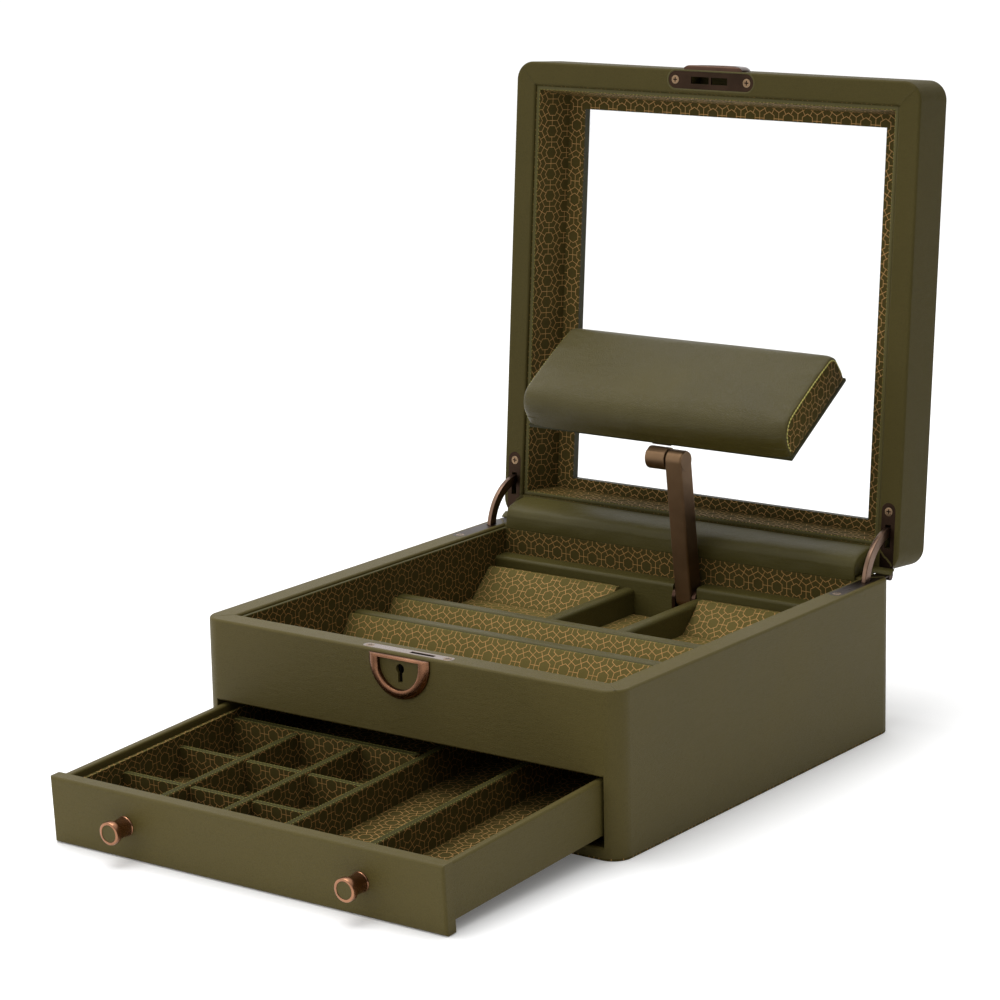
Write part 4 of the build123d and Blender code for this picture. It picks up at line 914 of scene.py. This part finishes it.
# One bead: radius * sin(pi * u) over its length, turned through v; each bead is placed by the row's
# tangent, its outward direction and their cross product
def makeStitches(name, rows, where, body, paint="edgeThread", values=threadValues):
    u = np.linspace(0.04, 0.96, values["rings"])
    v = np.arange(values["sides"]) / values["sides"] * 2 * pi
    thick = values["radius"] * np.sin(pi * u) ** 0.6
    bead = np.stack([
        np.repeat((u - 0.5) * values["length"], len(v)),
        np.outer(thick, np.cos(v)).ravel(),
        np.outer(thick, np.sin(v)).ravel() * 0.8,
    ], -1)
    index = np.arange(len(bead)).reshape(len(u), len(v))
    beyond = np.roll(index, -1, 1)
    quads = np.stack([index, beyond, np.roll(beyond, -1, 0), np.roll(index, -1, 0)], -1)[:-1].reshape(-1, 4)
    ends = [index[0], index[-1][::-1]]
    if enclosed(bead, [quads, *ends]) < 0:
        quads, ends = quads[:, ::-1], [end[::-1] for end in ends]
    places, faces, caps, count = [], [], [], 0
    for path, outward in rows:
        path = np.array(path, float)
        gaps = np.linalg.norm(np.diff(path, axis=0), axis=1)
        far = np.concatenate([[0], np.cumsum(gaps)])
        centres = np.arange(values["pitch"] / 2, far[-1], values["pitch"])
        behind, middle, ahead = [
            np.stack([np.interp(centres + shift, far, path[:, axis]) for axis in range(3)], -1)
            for shift in (-0.4, 0, 0.4)
        ]
        along = (ahead - behind) / np.linalg.norm(ahead - behind, axis=1)[:, None]
        out = np.broadcast_to(np.array(outward, float), along.shape)
        beside = np.cross(out, along)
        beside /= np.linalg.norm(beside, axis=1)[:, None]
        out = np.cross(along, beside)
        slanted = along + 0.12 * beside
        beads = middle[:, None]
        for axis, direction in enumerate((slanted, beside, out)):
            beads = beads + bead[None, :, axis:axis + 1] * direction[:, None]
        places.append(beads.reshape(-1, 3))
        first = count + np.arange(len(centres)) * len(bead)
        faces.append((quads[None] + first[:, None, None]).reshape(-1, 4))
        caps += [first[:, None] + end[None] for end in ends]
        count += len(centres) * len(bead)
    polygons = np.concatenate(faces).tolist() + np.concatenate(caps).tolist()
    stitches = meshPiece(name, placed(np.concatenate(places), where), polygons, paint)
    settle(stitches, body)


up = (0, 0, 1)
edge = 133.1
trayRows = [
    ([(-edge, -edge, 96.0), (edge, -edge, 96.0)], up), ([(-edge, edge, 96.0), (edge, edge, 96.0)], up),
    ([(-edge, -edge, 96.0), (-edge, edge, 96.0)], up), ([(edge, -edge, 96.0), (edge, edge, 96.0)], up),
]
for lip in (-32.2, 11.6):
    trayRows.append(([(-131.6, lip + 0.35, 75.95), (131.6, lip + 0.35, 75.95)], (0, -0.6, 1)))
for low, high in ((-131.8, -32.2), (32.2, 131.8)):
    trayRows.append(([(low, 113.5, 74.15), (high, 113.5, 74.15)], (0, -0.6, 1)))
makeStitches("trayStitches", trayRows, caseFrame, "case")

lidEdge = 132.4
lidRows = [
    ([(-lidEdge, y, 1.75), (lidEdge, y, 1.75)], (0, 0, -1)) for y in (-lidEdge, lidEdge)
] + [
    ([(x, -lidEdge, 1.75), (x, lidEdge, 1.75)], (0, 0, -1)) for x in (-lidEdge, lidEdge)
]
makeStitches("lidStitches", lidRows, lidFrame, "lid")

drawerRows = [([(x, 12.5, 34.0), (x, 230.5, 34.0)], up) for x in (-129.7, 129.7)]
drawerRows.append(([(-129.0, 11.3, 34.0), (129.0, 11.3, 34.0)], up))
for left, end in ((-83, 145), (-37, 145), (8, 230), (67, 230)):
    for x in (left + 0.75, left + 4.25):
        drawerRows.append(([(x, 12.8, 28.95), (x, end, 28.95)], up))
for low, high in ((-128.6, -83.5), (-77.5, -37.5), (-31.5, 7.5)):
    for y in (48.6, 51.4, 97.1, 99.9):
        drawerRows.append(([(low, y, 27.5), (high, y, 27.5)], up))
for y in (146.2, 149.8):
    drawerRows.append(([(-128.6, y, 30.0), (7.5, y, 30.0)], up))
makeStitches("drawerStitches", drawerRows, drawerFrame, "drawer")

cushionRows = []
for side in (-1, 1):
    sewn = cushionOutline(cushionValues, 2.1)
    sewn = np.concatenate([sewn, sewn[:1]])
    sewn = sewn[(sewn[:, 1] > 4.4)]
    path = np.stack([np.full(len(sewn), side * 98.4), sewn[:, 0], sewn[:, 1]], -1)
    cushionRows.append((path, (side, 0, 0)))
borderThread = {**threadValues, "pitch": 2.4, "length": 2.2, "radius": 0.5}
makeStitches("cushionStitches", cushionRows, cushionFrame, "cushion", "brightThread", borderThread)
print("stitching ready")

# Corner seams of the leather, where two turned edges meet on the rim
seamValues = {"inner": 135.3, "outer": 149.2, "tall": 0.2, "wide": 1.5}


# Fold: along the diagonal, height = tall * sqrt(1 - s^2) * fade at both ends, with a slight wander
def makeSeamFold(name, signX, signY, where, side, body, values=seamValues):
    t = np.linspace(0, 1, 26)
    s = np.linspace(-1, 1, 9)
    reach = values["inner"] + (values["outer"] - 3.2 - values["inner"]) * t
    wander = 0.25 * np.sin(t * 9 + signX) + 0.12 * np.sin(t * 23)
    fade = np.sin(pi * np.clip(t * 0.9 + 0.06, 0, 1)) ** 0.35
    tall = values["tall"] * fade[:, None] * np.sqrt(1 - s ** 2)[None] - 0.06
    offset = (wander[:, None] + values["wide"] / 2 * s[None]) / sqrt(2)
    x = signX * (reach[:, None] + offset)
    y = signY * (reach[:, None] - offset)
    height = (98.0 + tall) if side > 0 else -tall
    points = np.stack([x, y, height], -1)
    if signX * signY * side > 0:
        points = points[:, ::-1]
    fold = skin(name, placed(points, where), body + "Leather", capBorder=True)
    settle(fold, body)
    # Painted shade: a dark bead line along the fold's flank, sunk slightly into it
    line = np.stack([x[:, 2], y[:, 2], height[:, 2] - side * 0.07], -1)
    return line, (0, 0, side)


seamThread = {"pitch": 0.9, "length": 1.1, "radius": 0.13, "rings": 4, "sides": 5}
for where, side, body in ((caseFrame, 1, "case"), (lidFrame, -1, "lid")):
    seamRows = []
    for signX in (-1, 1):
        for signY in (-1, 1):
            corner = ("Right" if signX > 0 else "Left") + ("Back" if signY > 0 else "Front")
            name = body + "Seam" + corner
            seamRows.append(makeSeamFold(name, signX, signY, where, side, body))
    makeStitches(body + "SeamShadows", seamRows, where, body, "darkThread", seamThread)
print("corner seams ready")


# Metal fittings: copies of the solids with their edges broken by a small round
def softened(node, width, segments=2):
    source = nodes[node]
    mesh = source.data.copy()
    mesh.name = node + "Softened"
    work = bmesh.new()
    work.from_mesh(mesh)
    bmesh.ops.remove_doubles(work, verts=work.verts, dist=2e-6)
    work.to_mesh(mesh)
    work.free()
    mesh.polygons.foreach_set("use_smooth", [True] * len(mesh.polygons))
    piece = linked(node.replace("_", "-") + "-softened", mesh)
    round_ = piece.modifiers.new("brokenEdges", "BEVEL")
    round_.width = width * mm
    round_.segments = segments
    round_.limit_method = "ANGLE"
    round_.angle_limit = radians(32)
    weighted = piece.modifiers.new("flatFaces", "WEIGHTED_NORMAL")
    weighted.keep_sharp = True
    weighted.weight = 90
    settle(piece, source["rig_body"], node)


for node, width in {
    "strike_plate": 0.25, "lock_plate": 0.2, "case_hinge_leaves": 0.2, "lid_hinge_leaves": 0.2,
    "stays": 0.45, "cushion_barrel": 0.35, "head_pin": 0.2,
}.items():
    softened(node, width)

ringValues = {
    "front": -150.0, "half": 21.5, "innerHalf": 14.7, "height": 2.8,
    "share": (0.0, 0.0, 0.05, 0.12, 0.46, 0.6, 0.76, 0.9, 1.0, 1.0),
    "rise": (-0.1, 2.3, 2.68, 2.8, 2.8, 2.68, 2.3, 1.7, 1.1, -0.1),
}


# D-shaped path: x = -half * cos(t), z = centre - grow * half * sin(t), then back along the flat
def ringPath(half, flat, foot, grow):
    centre = foot + grow * half
    t = np.linspace(0, pi, 57)
    arc = np.stack([-half * np.cos(t), centre - grow * half * np.sin(t)], -1)
    down = np.stack([np.full(5, -half), np.linspace(flat, centre, 6)[:-1]], -1)
    rise = np.stack([np.full(5, half), np.linspace(centre, flat, 6)[1:]], -1)
    across = np.linspace(half, -half, 16)[1:-1]
    return np.concatenate([down, arc, rise, np.stack([across, np.full(14, flat)], -1)])


# Half ring: point = inner + share * (outer - inner) on the face, raised by rise, with a broad bevel
def makeHalfRing(name, node, paint, where, body, outer, inner, grow, values=ringValues):
    outerPath = ringPath(values["half"], *outer, grow)
    innerPath = ringPath(values["innerHalf"], *inner, grow)
    share = np.array(values["share"])[None, :, None]
    flat = innerPath[:, None] + share * (outerPath - innerPath)[:, None]
    front = values["front"] - np.broadcast_to(values["rise"], flat.shape[:2])
    points = np.stack([flat[..., 0], front, flat[..., 1]], -1)
    ring = skin(name, placed(points, where), paint, wrapColumns=True, wrapRows=True)
    ring.data.set_sharp_from_angle(angle=radians(40))
    settle(ring, body, node)


makeHalfRing("lockRing", "lock_ring", "ringBronze", caseFrame, "case", (96.2, 71.0), (94.4, 76.5), 1)
makeHalfRing("lidRing", "lid_escutcheon", "darkBronze", lidFrame, "lid", (2.0, 27.0), (3.8, 21.5), -1)

knobValues = {
    "places": (-83.5, 83.5), "height": 19.8, "sides": 72,
    "reach": (-0.2, -0.2, 0.5, 0.8, 1.3, 9.6, 10.0, 10.2, 10.6, 13.3, 13.8, 14.0, 14.0, 13.85, 12.55, 12.55),
    "radius": (0.05, 5.9, 5.9, 5.7, 5.5, 5.5, 5.7, 6.4, 6.75, 6.78, 6.6, 6.25, 5.3, 5.08, 5.04, 0.05),
}


# Knob: radius by reach, turned round an axis square to the drawer front
def makeKnob(name, x, values=knobValues):
    turn = np.arange(values["sides"]) / values["sides"] * 2 * pi
    reach, radius = np.array(values["reach"]), np.array(values["radius"])
    points = np.stack([
        x + np.outer(radius, np.cos(turn)),
        np.repeat(-reach[:, None], len(turn), 1),
        values["height"] + np.outer(radius, np.sin(turn)),
    ], -1)
    knob = skin(name, placed(points, drawerFrame), "knobBronze", wrapColumns=True, capEnds=True)
    knob.data.set_sharp_from_angle(angle=radians(32))
    settle(knob, "drawer", "drawer_knobs")


for name, x in zip(("drawerKnobLeft", "drawerKnobRight"), knobValues["places"]):
    makeKnob(name, x)

screwValues = {"radius": 2.5, "dome": 0.13, "arm": 0.36, "reach": 1.5, "slot": 0.1}


# Screw head: dome * (1 - (r / radius)^4) less a cross slot, whose share is kept in the mesh as an attribute
# that paints shade into the slot
def makeScrewHeads(name, spots, where, body, level, side, values=screwValues):
    r = np.concatenate([np.linspace(0.02, 1.9, 15), [2.1, 2.3, 2.44, values["radius"], values["radius"]]])
    turn = np.arange(64) / 64 * 2 * pi
    across, along = np.outer(r, np.cos(turn + 0.4)), np.outer(r, np.sin(turn + 0.4))
    slim = np.minimum(np.abs(across), np.abs(along))
    wide = np.maximum(np.abs(across), np.abs(along))
    inside = np.clip((values["arm"] - slim) / 0.12 + 0.5, 0, 1)
    inside *= np.clip((values["reach"] - wide) / 0.15 + 0.5, 0, 1)
    rise = values["dome"] * (1 - (r / values["radius"]) ** 4)[:, None] - values["slot"] * inside
    rise[-1] = -0.1
    for count, (x, y) in enumerate(spots):
        points = np.stack([x + across, y + along, level + side * rise], -1)
        points = placed(points, where)
        head = skin(name + str(count + 1), points, "crossHead", wrapColumns=True, capEnds=True)
        mark = head.data.attributes.new("paintedSlotShade", "FLOAT", "POINT")
        mark.data.foreach_set("value", inside.reshape(-1).astype(np.float32))
        settle(head, body)


caseSpots = [(30.2, -144.5), (-25.7, -144.5), (142, 95.5), (-142, 95.5)]
lidSpots = [(26.5, -143.5), (-26.5, -143.5), (142, 112.5), (-142, 112.5)]
makeScrewHeads("caseScrewHead", caseSpots, caseFrame, "case", 98.0, 1)
makeScrewHeads("lidScrewHead", lidSpots, lidFrame, "lid", 0.0, -1)


# Leather lip round a plate: a stadium path of half length and round, with a low half-round profile
def makeLip(name, half, radius, y, level, side, where, body, wide=1.1, tall=0.2):
    turn = np.linspace(-pi / 2, pi / 2, 21)
    right = np.stack([np.cos(turn), np.sin(turn)], -1)
    normal = np.concatenate([right, -right])
    centre = np.concatenate([np.full(21, half - radius), np.full(21, radius - half)])
    profile = np.linspace(0, pi, 7)
    out = radius + wide * (0.5 - 0.5 * np.cos(profile))
    x = centre[:, None] + normal[:, :1] * out[None]
    z = level + side * np.broadcast_to(tall * np.sin(profile) - 0.05, x.shape)
    points = np.stack([x, y + normal[:, 1:] * out[None], z], -1)
    lip = skin(name, placed(points, where), "dividerLeather", wrapColumns=True, wrapRows=True)
    settle(lip, body)


makeLip("strikeLip", 31.5, 5.49, -143.5, 0.0, -1, lidFrame, "lid")


# Binding round a square opening: square rings of half size inner..outer, raised by tall * sin
def makeBinding(name, inner, outer, level, side, where, body, tall=0.45):
    steps = np.linspace(-1, 1, 31)[:-1]
    ones = np.ones(30)
    square = np.concatenate([
        np.stack([steps, -ones], -1), np.stack([ones, steps], -1),
        np.stack([-steps, ones], -1), np.stack([-ones, -steps], -1),
    ])
    profile = np.linspace(0, pi, 8)
    half = inner + (outer - inner) * (0.5 - 0.5 * np.cos(profile))
    flat = square[:, None] * half[None, :, None]
    rise = level + side * np.broadcast_to(tall * np.sin(profile) - 0.1, flat.shape[:2])
    points = np.concatenate([flat, rise[..., None]], -1)
    binding = skin(name, placed(points, where), "dividerLeather", wrapColumns=True, wrapRows=True)
    settle(binding, body)


makeBinding("trayBinding", 132.7, 134.9, 96.0, 1, caseFrame, "case")
makeBinding("lidBinding", 132.2, 134.8, 1.8, -1, lidFrame, "lid")
# Painted shade: a dark bead line down each side of the drawer front, in the gap beside it
lineThread = {"pitch": 0.8, "length": 1.1, "radius": 0.17, "rings": 4, "sides": 5}
makeStitches("drawerGapShade", [
    ([(side * 138.05, 8.12, 1.0), (side * 138.05, 8.12, 38.0)], (side, 0, 0)) for side in (-1, 1)
], drawerFrame, "drawer", "darkThread", lineThread)
print("fittings ready")

# Stage
floorMesh = bpy.data.meshes.new("paleFloor")
floorMesh.from_pydata([(-9, -9, 0), (9, -9, 0), (9, 9, 0), (-9, 9, 0)], [], [(0, 1, 2, 3)])
floorFinish = Finish("paleFloor")
floorMesh.materials.append(floorFinish.surface({
    "Base Color": (0.95, 0.95, 0.95, 1), "Roughness": 0.9, "Specular IOR Level": 0.1,
    "Emission Color": (1, 1, 1, 1), "Emission Strength": 0.1,
}))
linked("paleFloor", floorMesh)
